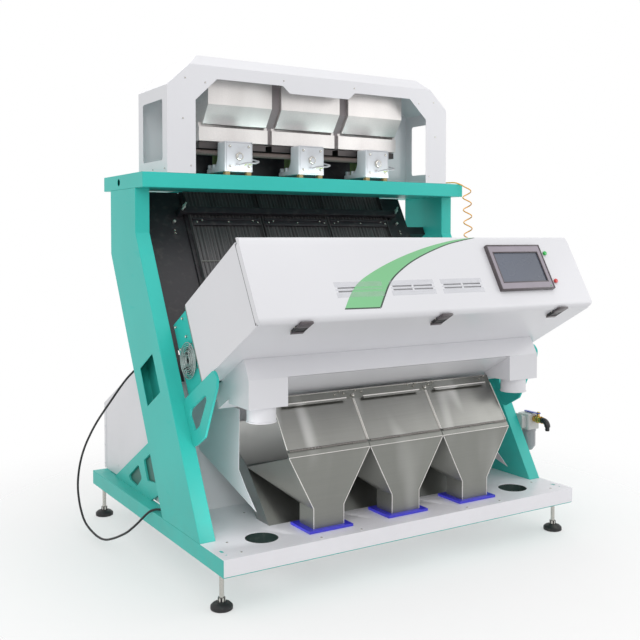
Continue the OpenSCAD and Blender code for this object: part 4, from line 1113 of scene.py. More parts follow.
    def _lead(self, shop: Workshop, lane: int) -> None:
        """Supply lead that loops from a drive's front to its side, and the earth wire beside it."""
        home = Vector((lane * DRIVE_PITCH, DRIVE_Y, DRIVE_Z))
        bend, far = self.lead_bend, DRIVE_HALF - 3
        route = []
        for x_mid, y_mid, first in ((bend - 8, -3, 180), (far, -3, 270), (far, 9, 0)):
            for angle in range(first, first + 91, 15):
                turn = math.radians(angle)
                route.append((x_mid + bend * math.cos(turn), y_mid + bend * math.sin(turn)))
        low, rise = self.lead_z[0], (self.lead_z[1] - self.lead_z[0]) / (len(route) - 1)
        line = [home + Vector((x, y, low + rise * i)) for i, (x, y) in enumerate(route)]
        piece = tube(f"feeder_lead_{lane + 2}", line, self.lead_d)
        shop.place(piece, "lead_grey", stands_for=["feeder_leads"])
        self._exit(line[0])
        round(run_length(line), 3)
        line = []
        for i in range(self.earth_steps + 1):
            t = i / self.earth_steps
            swing = 28 + 9 * t + 4.2 * math.sin(8.6 * t + 0.9 * lane)
            dip = -1 - 11 * math.sin(math.pi * t)
            line.append(home + Vector((DRIVE_HALF - 42 + 42 * t, dip, swing)))
        piece = tube(f"earth_wire_{lane + 2}", line, self.earth_d)
        shop.place(piece, "earth_wire")
        self._exit(line[0])
        round(run_length(line), 3)


@dataclass
class FrameAndHood:
    """Green frame, white deck and hood, with their screws, trims and sleeves."""

    looks: Looks = (
        ("base_frame", "frame_green", 2.2, 3),
        ("posts", "frame_green", 2.2, 3),
        ("top_frame", "frame_green", 2.2, 3),
        ("frame_gussets", "frame_green", 1.2),
        ("front_deck", "deck_white", 0.7),
        ("inner_side_panels", "cover_white", 0.5),
        ("hood", "cover_white", 0.8),
        *((f"levelling_foot_{i}", "rubber", 0.5) for i in range(1, 5)),
    )
    hood_half: float = 707.0
    hood_y: Pair = (707.0, 1020.0)
    hood_spots: Points = (
        (543, 1869), (606, 1534), (180, 1908), (640, 1720), (630, 1880),
    )
    flange_z: Pair = (1521.0, 1833.0)
    roof: float = 1984.0
    inlet_y: float = 899.0
    inlet_r: float = 80.0
    foot_places: Points = ((-780, 79), (780, 79), (-780, 1288), (780, 1288))
    nuts: Points = ((26, 14), (119, 12.6))
    nut_r: float = 13.6
    threads: int = 38
    deck: float = 194.0
    deck_spots: Points = (
        (725, 40), (725, 150), (420, 22), (250, 22), (520, 420), (700, 460),
    )
    sleeve: Points = ((60.5, 192), (60.5, 140), (62, 140), (62, 192), (60.5, 192))
    web_x: float = 747.2
    web: Points = ((790, 204), (1165, 204), (745, 425), (650, 276))

    def build(self, shop: Workshop) -> None:
        """Dresses the nodes and makes the small parts."""
        shop.dress_all(self.looks)
        self._hood_screws(shop)
        self._inlet_trims(shop)
        self._feet(shop)
        self._deck(shop)

    def _hood_screws(self, shop: Workshop) -> None:
        """Small screws on the hood's front, sides and rear."""
        mould = Mould()
        front, rear = self.hood_y
        low, high = self.flange_z
        mould.screws([(x, front, z) for x, z in self.hood_spots], FRONT, 7.0, 1.8)
        mould.screws([(self.hood_half, y, low) for y in (735, 860, 990)], RIGHT, 8.0, 2.0)
        row = [(x, rear, z) for x in range(60, 700, 125) for z in (low, high)]
        mould.screws(row, BACK, 8.0, 2.0)
        shop.keep(mould.mirrored(), "hood_screws", "screw_steel")

    def _inlet_trims(self, shop: Workshop) -> None:
        """Rubber edging inside the three roof inlets."""
        mould = Mould()
        r = self.inlet_r
        profile = [(r, 0), (r - 3.5, 0), (r - 4, -2), (r - 4, -8)]
        profile += [(r + 3, -8), (r + 3, -2.6), (r, -2.4), (r, 0)]
        for lane in LANES:
            mould.lathe(profile, (lane * PITCH, self.inlet_y, self.roof), UP, 48)
        shop.keep(mould, "inlet_trims", "rubber")

    def _feet(self, shop: Workshop) -> None:
        """Threaded stems and lock nuts of the four feet."""
        thread = [(7.0, 39.0), (8.02, 40.0)]
        for k in range(self.threads):
            thread += [(8.3, 40.6 + 2 * k), (8.05, 41.6 + 2 * k)]
        thread.append((7.0, 118.0))
        for i, (x, y) in enumerate(self.foot_places, 1):
            mould = Mould()
            for z, height in self.nuts:
                mould.rod((x, y, z), UP, height, self.nut_r, sides=6, edge=1.2)
            mould.lathe(thread, (x, y, 0), UP, 20)
            shop.keep(mould, f"foot_stem_{i}", "screw_steel", f"foot_{i}")

    def _deck(self, shop: Workshop) -> None:
        """Deck screws, webs behind the rear braces' openings, and dark sleeves in the hose holes as
        painted shade.
        """
        screws = Mould().screws([(x, y, self.deck) for x, y in self.deck_spots], UP, 9.0, 1.4)
        shop.keep(screws.mirrored(), "deck_screws", "screw_steel")
        webs = Mould().plate([(self.web_x, y, z) for y, z in self.web], (1.8, 0, 0))
        shop.keep(webs.mirrored(), "brace_webs", "brace_shadow")
        sleeves = Mould().lathe(self.sleeve, (*PORT, 0), UP, 40)
        shop.keep(sleeves.mirrored(), "hole_shade_sleeves", "hole_shade")


@dataclass
class Feeders:
    """Feed hoppers, vibrating drives with their front plates, and the conduit behind them."""

    looks: Looks = (
        ("feed_hoppers", "bin_steel", 0.7),
        ("drive_housings", "cast_grey", 3.0, 3),
        ("drive_mounts", "mount_brown", 1.5),
        ("leaf_springs", "spring_green", 0.5),
        ("feed_trays", "shaded_tray_steel", 0.5),
    )
    plate: float = 3.0
    middle: float = 63.5
    corner: Pair = (44.0, 42.0)
    hub: Points = ((15, 0), (15, 9), (13, 11), (10.5, 11), (10.5, 7))
    dial: Points = ((10.3, 6), (10.3, 10), (8.6, 12), (0, 12.4))
    gland: Pair = (-8.0, 24.0)
    pipe_x: Pair = (-560.0, 470.0)
    pipe_y: float = 864.4
    pipe_z: float = 1605.5
    pipe_r: float = 12.2
    pipe_ring: float = 7.0
    clip_x: float = 48.0
    web_low: float = 17.0
    web_rear: float = 71.0
    web_r: float = 62.0
    folds: Points = ((796, 1904), (796, 1797), (852, 1722), (862, 1655))
    fold_halves: tuple[float, ...] = (22.0, 22.0, 10.0)

    def build(self, shop: Workshop) -> None:
        """Dresses the nodes and makes the drives' details."""
        shop.dress_all(self.looks)
        self._faces(shop)
        self._conduit(shop)
        self._webs(shop)
        self._gap_strips(shop)

    def _faces(self, shop: Workshop) -> None:
        """Corner screws, hub nut, setting dial and cable glands of each drive."""
        screws, hubs, dials, glands = Mould(), Mould(), Mould(), Mould()
        face, centre = DRIVE_Y - self.plate, DRIVE_Z + self.middle
        side, up = self.corner
        for lane in LANES:
            x = lane * DRIVE_PITCH
            corners = [(x + sx * side, face, centre + sz * up) for sx in SIDES for sz in SIDES]
            screws.screws(corners, FRONT, 11.0, 4.0)
            hubs.rod((x, face, centre), FRONT, 6.0, 19.0, sides=6, edge=1.0)
            hubs.lathe(self.hub, (x, face, centre), FRONT, 28)
            dials.lathe(self.dial, (x, face, centre), FRONT, 24)
            mark = (face - 13.4, face - 11.8)
            dials.block((x - 0.9, x + 0.9), mark, (centre - 1, centre + 8), 0.3)
            left, z = x + self.gland[0], DRIVE_Z + self.gland[1]
            glands.rod((left, face, z), FRONT, 6.0, 9.0, sides=6, edge=0.8)
            glands.rod((left, face - 6, z), FRONT, 6.0, 7.6, 4.6)
            glands.rod((x + DRIVE_HALF, DRIVE_Y + 36, DRIVE_Z + 60), RIGHT, 9.0, 8.0, 5.0)
        shop.keep(screws, "drive_screws", "screw_steel")
        shop.keep(hubs, "drive_hubs", "screw_steel")
        shop.keep(dials, "drive_dials", "cast_grey")
        shop.keep(glands, "drive_glands", "cast_grey")

    def _conduit(self, shop: Workshop) -> None:
        """Corrugated conduit clipped to the drives' rear faces, and the dark panel behind it."""
        mould = Mould()
        start, end = self.pipe_x
        r, groove = self.pipe_r, self.pipe_r - 2.2
        profile: list[Point] = [(0.0, 0.0), (r, 0.0)]
        for k in range(int((end - start) / self.pipe_ring)):
            at = k * self.pipe_ring
            profile += [(r, at + 1.5), (groove, at + 3), (groove, at + 5), (r, at + 6.5)]
        profile.append((0.0, end - start))
        mould.lathe(profile, (start, self.pipe_y, self.pipe_z), RIGHT, 16)
        for lane in LANES:
            for sx in SIDES:
                x = lane * DRIVE_PITCH + sx * self.clip_x
                for z in (self.pipe_z - 13, self.pipe_z + 5):
                    mould.block((x - 6, x + 6), (849, 860), (z, z + 8), 1.0)
        shop.keep(mould, "conduit_pipe", "conduit_grey")
        panel = Mould().block((-596, 560), (1012, 1016), (1506, 1618), 0.6)
        shop.keep(panel, "feed_panel", "black_coat")

    def _webs(self, shop: Workshop) -> None:
        """Curved webs between each drive's rear face and its bed."""
        mould = Mould()
        low, rear, r = DRIVE_Z + self.web_low, DRIVE_Y + self.web_rear, self.web_r
        steps = [math.radians(a) for a in range(0, 91, 10)]
        curve = [(rear + r * (1 - math.sin(a)), low + r * (1 - math.cos(a))) for a in steps]
        for lane in LANES:
            for sx in SIDES:
                x = lane * DRIVE_PITCH + sx * 63.5
                outline = [(x, rear, low), *((x, y, z) for y, z in curve)]
                mould.plate(outline, (-sx * 6.0, 0, 0), 0.8)
        shop.keep(mould, "drive_webs", "cast_grey")

    def _gap_strips(self, shop: Workshop) -> None:
        """Folded sheet strips that close the gaps between the hoppers, grey as painted light for
        the lit hopper walls.
        """
        mould = Mould()
        for x in (-PITCH / 2, PITCH / 2):
            for high, low, half in zip(self.folds, self.folds[1:], self.fold_halves):
                outline = [(x - half, *high), (x + half, *high), (x + half, *low), (x - half, *low)]
                mould.plate(outline, (0, 2.0, 0))
        shop.keep(mould, "bin_gap_strips", "lit_gap_grey")


@dataclass
class Chutes:
    """Black chutes, their frame, the clamp bar, strips, screws and knobs."""

    looks: Looks = (
        ("chutes", "chute_black", 0.4),
        ("chute_frame", "black_coat", 0.8),
        ("chute_clamp_bar", "black_coat", 1.0),
    )
    lip: float = 81.0
    strip: Pair = (86.0, 120.0)
    strip_half: float = 162.0
    strip_spots: Points = ((-144, 12), (-120, 20), (4, 12), (124, 20), (148, 12))
    seam: float = -84.0
    wing_y: float = 107.0
    wing_spots: Points = ((600, -330), (600, -344), (590, 70), (590, 56))
    knob_x: float = 555.5
    shade_y: float = 110.3

    def build(self, shop: Workshop) -> None:
        """Dresses the nodes and makes the strips, screws, knobs and shades."""
        shop.dress_all(self.looks)
        strips, screws, seams, knobs = (Mould(Place.LEANING) for _ in range(4))
        lip, (low, high) = self.lip, self.strip
        for lane in LANES:
            x = lane * PITCH
            span = (x - self.strip_half, x + self.strip_half)
            strips.block(span, (lip - 3, lip + 9), (high - 9, high), 0.8)
            strips.block(span, (lip + 1, lip + 9), (low, high - 8), 0.6)
            spots = [(x + dx, lip + 1, low + up) for dx, up in self.strip_spots]
            screws.screws(spots, FRONT, 9.0, 4.5)
            span = (x - self.strip_half - 1, x + self.strip_half + 1)
            seams.block(span, (90.4, 93.2), (self.seam - 1.6, self.seam + 1.6), 0.4)
        for sx in SIDES:
            spots = [(sx * x, self.wing_y, up) for x, up in self.wing_spots]
            screws.screws(spots, FRONT, 10.0, 5.0)
            x = sx * self.knob_x
            knobs.rod((x, 43, 150), FRONT, 9, 8.5, sides=6, edge=1.0)
            knobs.rod((x - 13, 36, 132), (26, 0, 36), 44, 4.2, sides=12, edge=1.0)
            knobs.rod((sx * 585, self.wing_y, 112), FRONT, 14, 6.5, sides=6, edge=1.0)
        shop.keep(strips, "chute_strips", "black_coat")
        shop.keep(screws, "chute_screws", "screw_steel")
        shop.keep(seams, "chute_seams", "stainless")
        shop.keep(knobs, "clamp_knobs", "knob_steel")
        shades, y = Mould(Place.LEANING), self.shade_y
        shades.block((504, 560), (y, y + 2), (-468, 258), 0.4)
        shades.block((690, 749), (y - 3, y - 0.6), (-600, -466), 0.4)
        shop.keep(shades.mirrored(), "wing_shades", "black_coat")


@dataclass
class OpticalBox:
    """Front box, hinged cover with its print and vents, operator panel, buttons and latches."""

    looks: Looks = (
        ("front_box", "cover_white", 0.0),
        ("front_cover", "cover_white", 0.0),
        ("cameras", "black_plastic", 1.5),
        ("lamp_tubes", "lamp", 1.0),
        ("optic_windows", "glass", 0.5),
        ("hmi_bezel", "bezel", 0.8),
        ("hmi_screen", "screen", 0.3),
        ("latch_bases", "black_plastic", 0.8),
    )
    face: float = -678.0
    half: float = 753.6
    seam: float = -652.0
    hinge_line: float = -397.0
    lip: float = -714.0
    top_r: float = 18.0
    round_r: float = 20.0
    stripe_left: Points = (
        (-424, -676), (-386, -626), (-341, -583), (-270, -544), (-178, -505),
        (-80, -471), (28, -441), (140, -418), (259, -402),
    )
    stripe_right: Points = (
        (-282, -678), (-254, -640), (-219, -595), (-187, -565), (-145, -537),
        (-93, -508), (-34, -482), (40, -455), (127, -429), (259, -403),
    )
    stripe_foot: Points = ((-427, -680), (-355, -681), (-279, -682))
    stripe_sole: Points = ((-424, -675), (-353, -676), (-282, -677))
    vent_x: float = -113.5
    vent_pitch: float = 229.0
    vent_rows: Points = ((-636, -617), (-609.5, -604.5), (-597, -578))
    hinge_x: tuple[float, ...] = (-600.0, 0.0, 600.0)
    hinge_pin: Pair = (-652.2, -403.0)
    sleeve: Pair = (38.8, 5.35)
    hmi: Pair = (427.5, -542.5)
    hmi_front: float = -692.0
    button_x: float = 595.0
    button_ups: Pair = (-480.0, -604.0)
    cap: Points = (
        (0, -12.5), (5.9, -12.5), (5.9, 4.4), (7.8, 4.8), (8.8, 5.5),
        (8.8, 7.8), (8.1, 9.1), (5.4, 9.8), (0, 9.8),
    )
    collar: Points = (
        (9.6, 0), (12.6, 0), (12.6, 0.9), (11.8, 1.8), (10.2, 1.8), (9.6, 1.3), (9.6, 0),
    )
    latch_x: tuple[float, ...] = (-584.0, 0.0, 584.0)
    latch_y: float = -620.0
    lever_up: float = -718.9
    lever_half: float = 24.0
    pivot_half: float = 16.6

    def build(self, shop: Workshop) -> None:
        """Dresses the nodes and makes the details."""
        shop.dress_all(self.looks)
        self._stripe(shop)
        self._vents(shop)
        self._hinges(shop)
        self._rim(shop)
        self._panel(shop)
        self._buttons(shop)
        self._latches(shop)
        self._box_screws(shop)

    def _skin(self, up: float) -> float:
        """The cover's outer face at a height up the lean."""
        radius = self.top_r if up > self.hmi[1] else self.round_r
        past = max(up - (self.hinge_line - radius), (self.lip + radius) - up, 0.0)
        past = min(past, radius * 0.98)
        return self.face + radius - math.sqrt(radius**2 - past**2)

    def _print(self, left: Sequence[Point], right: Sequence[Point], proud: float) -> Mould:
        """A printed band between two edge lines on the cover's face.

        Args:
            left, right: Points across and up of the two edges, from low to high.
            proud: How far its face stands off the cover.

        Returns:
            The band.
        """
        mould = Mould(Place.LEANING, 60.0)
        bm = mould.bm
        lines = [smooth_route([(x, 0, up) for x, up in side], 40) for side in (left, right)]
        rows = [[bm.verts.new(p) for p in line] for line in lines]
        edges = [bm.edges.new(pair) for row in rows for pair in zip(row, row[1:])]
        bmesh.ops.bridge_loops(bm, edges=edges)
        first = set(rows[0])
        cross = [e for e in bm.edges if (e.verts[0] in first) != (e.verts[1] in first)]
        bmesh.ops.subdivide_edges(bm, edges=cross, cuts=5, use_grid_fill=True)
        for vert in bm.verts:
            vert.co.y = self._skin(vert.co.z) - proud
        bmesh.ops.recalc_face_normals(bm, faces=bm.faces[:])
        if sum(face.normal.y for face in bm.faces) > 0.0:
            bmesh.ops.reverse_faces(bm, faces=bm.faces[:])
        return mould

    def _stripe(self, shop: Workshop) -> None:
        """Green swoosh with its dark edge lines, printed on the cover."""
        outer = [(x + 6.0, up - 2.0) for x, up in self.stripe_right]
        band = self._print(self.stripe_left, self.stripe_right, 0.25)
        shop.keep(band, "cover_stripe", "swoosh_green", "cover")
        line = self._print(self.stripe_right, outer, 0.3)
        shop.keep(line, "cover_stripe_line", "swoosh_edge", "cover")
        foot = self._print(self.stripe_foot, self.stripe_sole, 0.3)
        shop.keep(foot, "cover_stripe_foot", "swoosh_edge", "cover")

    def _vents(self, shop: Workshop) -> None:
        """Thin film over each group of vents, open at the slots, and grey plates behind them."""
        films, backs = Mould(Place.LEANING), Mould(Place.LEANING)
        for group in LANES:
            x = self.vent_x + group * self.vent_pitch
            for row in self.vent_rows:
                films.block((x - 98, x + 98), (self.face - 0.45, self.face + 0.1), row, 0.1)
            backs.block((x - 96, x + 96), (self.face + 3.4, self.face + 4.4), (-628, -586), 0.2)
        shop.keep(films, "vent_films", "vent_film", "cover")
        shop.keep(backs, "vent_backs", "lead_grey", "cover")

    def _hinges(self, shop: Workshop) -> None:
        """Steel sleeves over the hinge knuckles of the box and of its cover."""
        fixed, moving = Mould(Place.LEANING), Mould(Place.LEANING)
        length, radius = self.sleeve
        for x in self.hinge_x:
            start = x - length / 2
            fixed.rod((start, *self.hinge_pin), RIGHT, length, radius, sides=24)
            for sx in SIDES:
                at = (start + sx * 40.4, *self.hinge_pin)
                moving.rod(at, RIGHT, length, radius, sides=24)
        shop.keep(fixed, "hinge_sleeves", "dark_steel")
        shop.keep(moving, "cover_sleeves", "dark_steel", "cover")

    def _rim(self, shop: Workshop) -> None:
        """Rolled top edge of the cover, the seam at its sides and the box's hinge leaf above it."""
        rim, seams, leaf = (Mould(Place.LEANING) for _ in range(3))
        half, r = self.half, self.top_r
        front, mid = self.face + 0.2, self.hinge_line - r
        outline = [(-half, front + r, mid - 18), (-half, front, mid - 18)]
        for angle in range(180, 89, -10):
            turn = math.radians(angle)
            outline.append((-half, front + r + r * math.cos(turn), mid + r * math.sin(turn)))
        rim.plate(outline, (2 * half, 0, 0))
        shop.keep(rim, "cover_rim", "cover_white", "cover")
        gap = (self.seam + 0.1, self.seam + 3.1)
        seams.block((half - 1, half + 2.2), gap, (self.lip + 7, -414))
        shop.keep(seams.mirrored(), "cover_seams", "seam_grey")
        leaf.block((-616, -584), (-646, -642), (-410, -388), 1.0)
        shop.keep(leaf, "hinge_leaf", "latch_grey")

    def _border(self, out: Point, wide: Point, inset: float, y: Point, edge: float) -> Mould:
        """Four bars round the operator panel's middle.

        Args:
            out: Half of their outer width and height.
            wide: Widths of the upright and of the level bars.
            inset: How much shorter the level bars are at each end.
            y: Their front and back.
            edge: Rounding of their edges.

        Returns:
            The bars.
        """
        mould = Mould(Place.LEANING)
        (x, up), (half_x, half_z) = self.hmi, out
        for side in SIDES:
            span = sorted((x + side * half_x, x + side * (half_x - wide[0])))
            mould.block(span, y, (up - half_z, up + half_z), edge)
        for side in SIDES:
            span = sorted((up + side * half_z, up + side * (half_z - wide[1])))
            mould.block((x - half_x + inset, x + half_x - inset), y, span, edge)
        return mould

    def _panel(self, shop: Workshop) -> None:
        """Raised dark rim of the operator panel, the mask round its screen and its pilot light."""
        front = self.hmi_front
        rim = self._border((139.9, 96.9), (5.4, 5.4), 0.4, (front - 2.2, self.face), 1.6)
        shop.keep(rim, "hmi_rim", "bezel_edge", "cover")
        mask = self._border((119.0, 67.0), (4.4, 4.2), 1.0, (front - 0.6, front + 3), 0.5)
        shop.keep(mask, "hmi_mask", "bezel_edge", "cover")
        at = (self.hmi[0] + 122, front, self.hmi[1] - 84)
        lamp = Mould(Place.LEANING).dome(at, FRONT, 5.0, 1.4)
        shop.keep(lamp, "hmi_pilot", "green_cap", "cover")

    def _buttons(self, shop: Workshop) -> None:
        """Turned push-button caps with stems, and the collars round them."""
        collars = Mould(Place.LEANING)
        keys = (("start", "green_cap"), ("stop", "red_cap"))
        for (name, finish), up in zip(keys, self.button_ups):
            at = (self.button_x, self.face, up)
            cap = Mould(Place.LEANING).lathe(self.cap, at, FRONT, 36)
            shop.keep(cap, f"{name}_cap", finish, f"{name}_key", [f"{name}_button"])
            collars.lathe(self.collar, at, FRONT, 36)
        shop.keep(collars, "button_collars", "cover_white", "cover")

    def _latches(self, shop: Workshop) -> None:
        """Draw latch levers with a ribbed grip, their base plates and screws."""
        screws, plates = Mould(Place.LEANING), Mould(Place.LEANING)
        y, up = self.latch_y, self.lever_up
        for i, x in enumerate(self.latch_x, 1):
            pivot, lever = Mould(Place.LEANING), Mould(Place.LEANING)
            wide = (x - self.lever_half, x + self.lever_half)
            narrow = (x - self.pivot_half, x + self.pivot_half)
            pivot.block(narrow, (y - 27, y), (up - 3.6, up + 3.4), 0.8)
            pivot.rod((narrow[0] - 0.2, y, up), RIGHT, 2 * self.pivot_half + 0.4, 4.5, sides=24)
            shop.keep(pivot, f"latch_pivot_{i}", "black_plastic", f"latch_{i}")
            lever.block(wide, (y - 60, y - 23), (up - 4.3, up + 4.0), 1.4)
            for k in range(4):
                rib = y - 55 + 6.5 * k
                lever.block((x - 20, x + 20), (rib, rib + 2.6), (up - 4.6, up - 4.0), 0.25)
            nodes = [f"latch_lever_{i}"]
            shop.keep(lever, f"latch_grip_{i}", "latch_grey", f"latch_{i}", nodes)
            plates.block(wide, (y + 8, y + 23), (up - 4.8, up - 1.0), 0.8)
            for sx in SIDES:
                spots = [(x + sx * 22.4, y + dy, -715) for dy in (-15, 15)]
                screws.screws(spots, (sx, 0, 0), 6.0, 1.6)
        shop.keep(screws, "latch_screws", "screw_steel")
        shop.keep(plates, "latch_plates", "latch_grey")

    def _box_screws(self, shop: Workshop) -> None:
        """Screws on the box's side flanges and the cover's hinge leaves."""
        mould = Mould(Place.LEANING)
        mould.screws([(754, y, -424) for y in (-630, -480, -330, -205)], RIGHT, 8.0, 1.8)
        leaves = [(x + dx, -637, -406) for x in self.hinge_x for dx in (-12, 12)]
        mould.screws(leaves, UP, 5.5, 1.4)
        shop.keep(mould, "box_screws", "screw_steel")


@dataclass
class Chamber:
    """Sorting chamber: green sides with bolts, fan, ejectors, wiper, and the dust hood below."""

    looks: Looks = (
        ("chamber_sides", "frame_green", 0.6),
        ("fan_housing", "guard_steel", 0.4),
        ("fan_rotor", "fan_grey", 0.4),
        ("ejector_bank", "dark_steel", 0.8),
        ("wiper_rail", "stainless", 0.8),
        ("wiper", "black_plastic", 0.8),
        ("dust_hood", "cover_white", 0.7),
        ("suction_stubs", "cover_white", 0.6),
    )
    side: float = 734.0
    box_side: float = 754.0
    bolts: Points = (
        (501, 943), (465, 879), (563, 905), (515, 825), (473, 744), (428, 659),
    )
    strip_y: Pair = (-181.0, -172.0)
    stub_r: float = 52.0
    guard: Point = (-744.0, -80.0, -588.0)
    guard_rings: tuple[float, ...] = (14.0, 28.0, 44.0, 59.5)
    guard_wire: float = 1.3

    def build(self, shop: Workshop) -> None:
        """Dresses the nodes and makes the guard's wires, bolts, strips and rims."""
        shop.dress_all(self.looks)
        self._guard(shop)
        bolts = Mould().screws([(self.side, y, z) for y, z in self.bolts], RIGHT, 11.0, 5.0)
        shop.keep(bolts.mirrored(), "chamber_bolts", "screw_steel")
        strips = Mould(Place.LEANING)
        span = (self.side - 1, self.box_side - 0.6)
        strips.block(span, self.strip_y, (-709, -412), 0.6)
        spots = [(self.box_side - 9, self.strip_y[1], up) for up in range(-690, -439, 50)]
        strips.screws(spots, BACK, 8.0, 3.0)
        shop.keep(strips.mirrored(), "chamber_strips", "stainless")
        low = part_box("suction_stubs")[0].z / MM
        rims, r = Mould(), self.stub_r
        profile = [(r, 0), (r + 1.8, 1), (r + 2.4, 3), (r + 1.8, 5), (r, 6), (r, 0)]
        for sx in SIDES:
            rims.lathe(profile, (sx * PORT[0], PORT[1], low), UP, 48)
        shop.keep(rims, "stub_rims", "cover_white")

    def _guard(self, shop: Workshop) -> None:
        """Fine wire rings between the rings of the fan guard."""
        rings, wire = Mould(Place.LEANING), self.guard_wire
        turns = [math.radians(angle) for angle in range(0, 361, 36)]
        for radius in self.guard_rings:
            profile = [(radius + wire * math.cos(a), wire * math.sin(a)) for a in turns]
            rings.lathe(profile, self.guard, LEFT, 48)
        shop.keep(rings, "guard_wires", "guard_steel")


@dataclass
class Discharge:
    """Stainless discharge hoppers, hinged doors, the rail with its fasteners, and the flanges."""

    looks: Looks = (
        ("discharge_hoppers", "stainless", 0.0),
        ("door_rail", "stainless", 0.5),
        ("outlet_flanges", "blue_flange", 1.2),
        ("reject_hopper", "trough_steel", 0.5),
        *((f"hopper_door_{i}", "lit_door_steel", 0.5) for i in range(1, 4)),
    )
    half: float = 172.5
    hinge: Pair = (-3.5, 23.5)
    barrels: int = 5
    barrel_r: float = 3.5
    door_top: float = 198.0
    lip_highlight: Triple = (135.0, -12.4, 197.6)
    knee: Triple = (65.0, 88.0, 276.0)
    foot: float = 204.5
    fold_r: float = 1.4
    welds: int = 8
    weld_pitch: float = 40.0
    stitches: int = 26
    stitch_pitch: float = 6.4
    rail_y: float = 2.4
    rail_spots: tuple[float, ...] = (
        -497, -480, -250, -227, -209, -152, -128, 97, 122, 135, 198, 224, 470, 497,
    )
    thumb_x: float = 173.5

    def build(self, shop: Workshop) -> None:
        """Dresses the nodes and makes the hinges, the painted highlights on lips and folds, and the
        fasteners.
        """
        shop.dress_all(self.looks)
        for lane in LANES:
            self._door(shop, lane)
        rings = Mould(Place.DOOR)
        for lane in LANES:
            self._knuckles(rings, lane, (0, 2, 4))
        shop.keep(rings, "hinge_rings", "hinge_steel")
        self._fold_highlights(shop)
        self._fasteners(shop)

    def _knuckles(self, mould: Mould, lane: int, segments: Iterable[int]) -> None:
        """Fine hinge rings over some of a hinge's five barrels.

        Args:
            mould: Where they are added.
            lane: The hopper's lane, -1 to 1.
            segments: Which barrels, from 0 to 4.
        """
        barrel = 2 * (self.half - 6) / self.barrels
        fine = barrel / 5
        for segment in segments:
            for k in range(5):
                x = lane * PITCH + (segment - self.barrels / 2) * barrel + k * fine
                at = (x + 1.0, *self.hinge)
                mould.rod(at, RIGHT, fine - 2.0, self.barrel_r + 0.45, sides=14)

    def _fold_highlights(self, shop: Workshop) -> None:
        """Painted highlights: thin near-white rods along the folded edges of the funnels and their
        spouts.
        """
        mould = Mould()
        half, front, knee_z = self.knee
        for lane in LANES:
            x = lane * PITCH
            for sx in SIDES:
                top = Vector((x + sx * (self.half - 0.8), FOLD.y, FOLD.z - 1))
                knee = Vector((x + sx * (half - 0.8), front, knee_z))
                foot = Vector((knee.x, front, self.foot))
                for a, b in ((top, knee), (knee, foot)):
                    mould.rod(tuple(a), tuple(b - a), (b - a).length, self.fold_r, sides=10)
            start = (x - self.half, FOLD.y, FOLD.z)
            mould.rod(start, RIGHT, 2 * self.half, self.fold_r, sides=10)
        shop.keep(mould, "funnel_fold_highlights", "highlight_steel")

    def _door(self, shop: Workshop, lane: int) -> None:
        """Hinge rings, spot welds, and the painted highlights on the lip and folded edges of one
        door.
        """
        rings, lip_highlight, welds, edge = (Mould(Place.DOOR) for _ in range(4))
        number, x = lane + 2, lane * PITCH
        self._knuckles(rings, lane, (1, 3))
        # The door's lip as a near-white rod: a real lip with a painted highlight.
        reach, y, z = self.lip_highlight
        lip_highlight.rod((x - reach, y, z), RIGHT, 2 * reach, 2.6, sides=14)
        for k in range(self.welds):
            welds.dome((x - 140 + k * self.weld_pitch, 0, 36), FRONT, 6.0, 0.4)
        # Folded side edges and their stitches in near-white: painted highlights.
        for sx in SIDES:
            span = sorted((x + sx * self.half, x + sx * (self.half - 3)))
            edge.block(span, (-2.2, 0.4), (29.5, self.door_top), 0.9)
            for k in range(self.stitches):
                at = (x + sx * (self.half - 1.6), -1.9, 31 + k * self.stitch_pitch)
                edge.rod(at, UP, 3.4, 1.5, sides=8)
        kinds = (
            (rings, "rings", "hinge_steel"),
            (lip_highlight, "lip_highlight", "highlight_steel"),
            (welds, "welds", "lit_door_steel"),
            (edge, "edges", "highlight_steel"),
        )
        for mould, kind, finish in kinds:
            shop.keep(mould, f"door_{kind}_{number}", finish, f"door_{number}")

    def _fasteners(self, shop: Workshop) -> None:
        """Small screws and thumb nuts on the rail, and the strip along its top."""
        rail, y = Mould(Place.DOOR), self.rail_y
        spots = [(x, y, 220 + 9 * (i % 2)) for i, x in enumerate(self.rail_spots)]
        rail.screws(spots, FRONT, 8.0, 5.0)
        for sx in SIDES:
            rail.rod((sx * self.thumb_x, y, 210), FRONT, 9.0, 6.5, sides=24, edge=1.0)
            rail.rod((sx * self.thumb_x, y - 9, 210), FRONT, 5.0, 3.2, sides=16)
        rail.block((-520, 520), (1.4, 2.6), (233, 237), 0.4)
        shop.keep(rail, "rail_fasteners", "screw_steel")


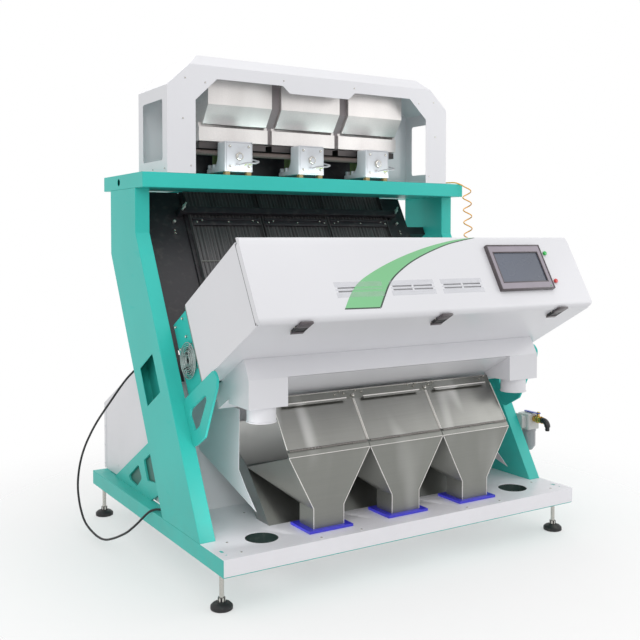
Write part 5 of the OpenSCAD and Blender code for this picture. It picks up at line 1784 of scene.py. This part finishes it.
@dataclass
class RearAndAir:
    """Rear cabinet with its flap, air tank, and the compressed air inlet."""

    looks: Looks = (
        ("rear_cabinet", "cover_white", 0.6),
        ("rear_door", "cover_white", 0.8),
        ("air_tank", "dark_steel", 1.0),
        ("filter_head", "filter_grey", 2.0, 3),
        ("filter_bowl", "bowl", 1.0),
        ("ball_valve", "brass", 0.6),
        ("valve_lever", "blue_lever", 0.8),
        ("inlet_elbow", "black_plastic", 0.8),
        ("line_fittings", "black_plastic", 0.7),
    )
    side: float = 745.0
    rear: float = 1384.4
    lock: Points = ((0, -4), (13, -4), (13, -0.4), (9, -0.2), (8, -1.6), (0, -1.6))
    filter_at: Pair = (865.0, 310.0)
    bowl_r: float = 31.0
    ribs: int = 12
    collar: Points = (
        (33.5, 0), (34.2, 1), (34.2, 9), (33.5, 10), (30.9, 10), (30.9, 0), (33.5, 0),
    )

    def build(self, shop: Workshop) -> None:
        """Dresses the nodes and makes the locks, the cabinet's strips and the inlet's parts."""
        shop.dress_all(self.looks)
        locks = Mould()
        for x in (-420, 420):
            locks.lathe(self.lock, (x, self.rear, 262), BACK, 28)
        shop.keep(locks, "flap_locks", "black_plastic", "rear_flap")
        self._cabinet(shop)
        self._inlet(shop)

    def _cabinet(self, shop: Workshop) -> None:
        """Screws and edge strips on the cabinet's sides."""
        mould, side = Mould(), self.side
        mould.block((side - 1, side + 1.6), (1352, 1379), (196, 486), 0.6)
        spots = [(side + 1.6, 1366, z) for z in (215, 300, 385, 470)]
        spots += [(side, y, 240) for y in (760, 900, 1050, 1200)]
        mould.screws(spots, RIGHT, 8.0, 2.0)
        shop.keep(mould.mirrored(), "cabinet_strips", "cover_white")

    def _inlet(self, shop: Workshop) -> None:
        """Ribs and collar of the filter's bowl, and the valve's nuts."""
        ribs, nuts = Mould(), Mould()
        (x, y), r = self.filter_at, self.bowl_r
        for k in range(self.ribs):
            angle = math.tau * k / self.ribs
            ribs.rod((x + r * math.cos(angle), y + r * math.sin(angle), 312), UP, 60, 1.2, sides=8)
        ribs.lathe(self.collar, (x, y, 374), UP, 40)
        shop.keep(ribs, "bowl_ribs", "bowl")
        for start in (225, 259):
            nuts.rod((x, start, 434), BACK, 9, 16.5, sides=6, edge=0.8)
        nuts.rod((x, 250, 464.4), UP, 3.6, 6.6, sides=6, edge=0.6)
        shop.keep(nuts, "valve_nuts", "brass")


class Sorter:
    """The whole machine, built sub-assembly by sub-assembly."""

    def __init__(self) -> None:
        """Loads the frame and names the sub-assemblies in building order."""
        self.shop = Workshop()
        self.parts = (
            Cords(),
            FrameAndHood(),
            Feeders(),
            Chutes(),
            OpticalBox(),
            Chamber(),
            Discharge(),
            RearAndAir(),
        )

    def build(self) -> None:
        """Builds the studio and every sub-assembly."""
        Studio().build()
        for part in self.parts:
            part.build(self.shop)
            LOG.info("finished %s", type(part).__name__)
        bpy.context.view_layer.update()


def main() -> None:
    """Builds the sorter."""
    logging.basicConfig(level=logging.INFO, format="%(message)s")
    Sorter().build()


if __name__ == "__main__":
    main()
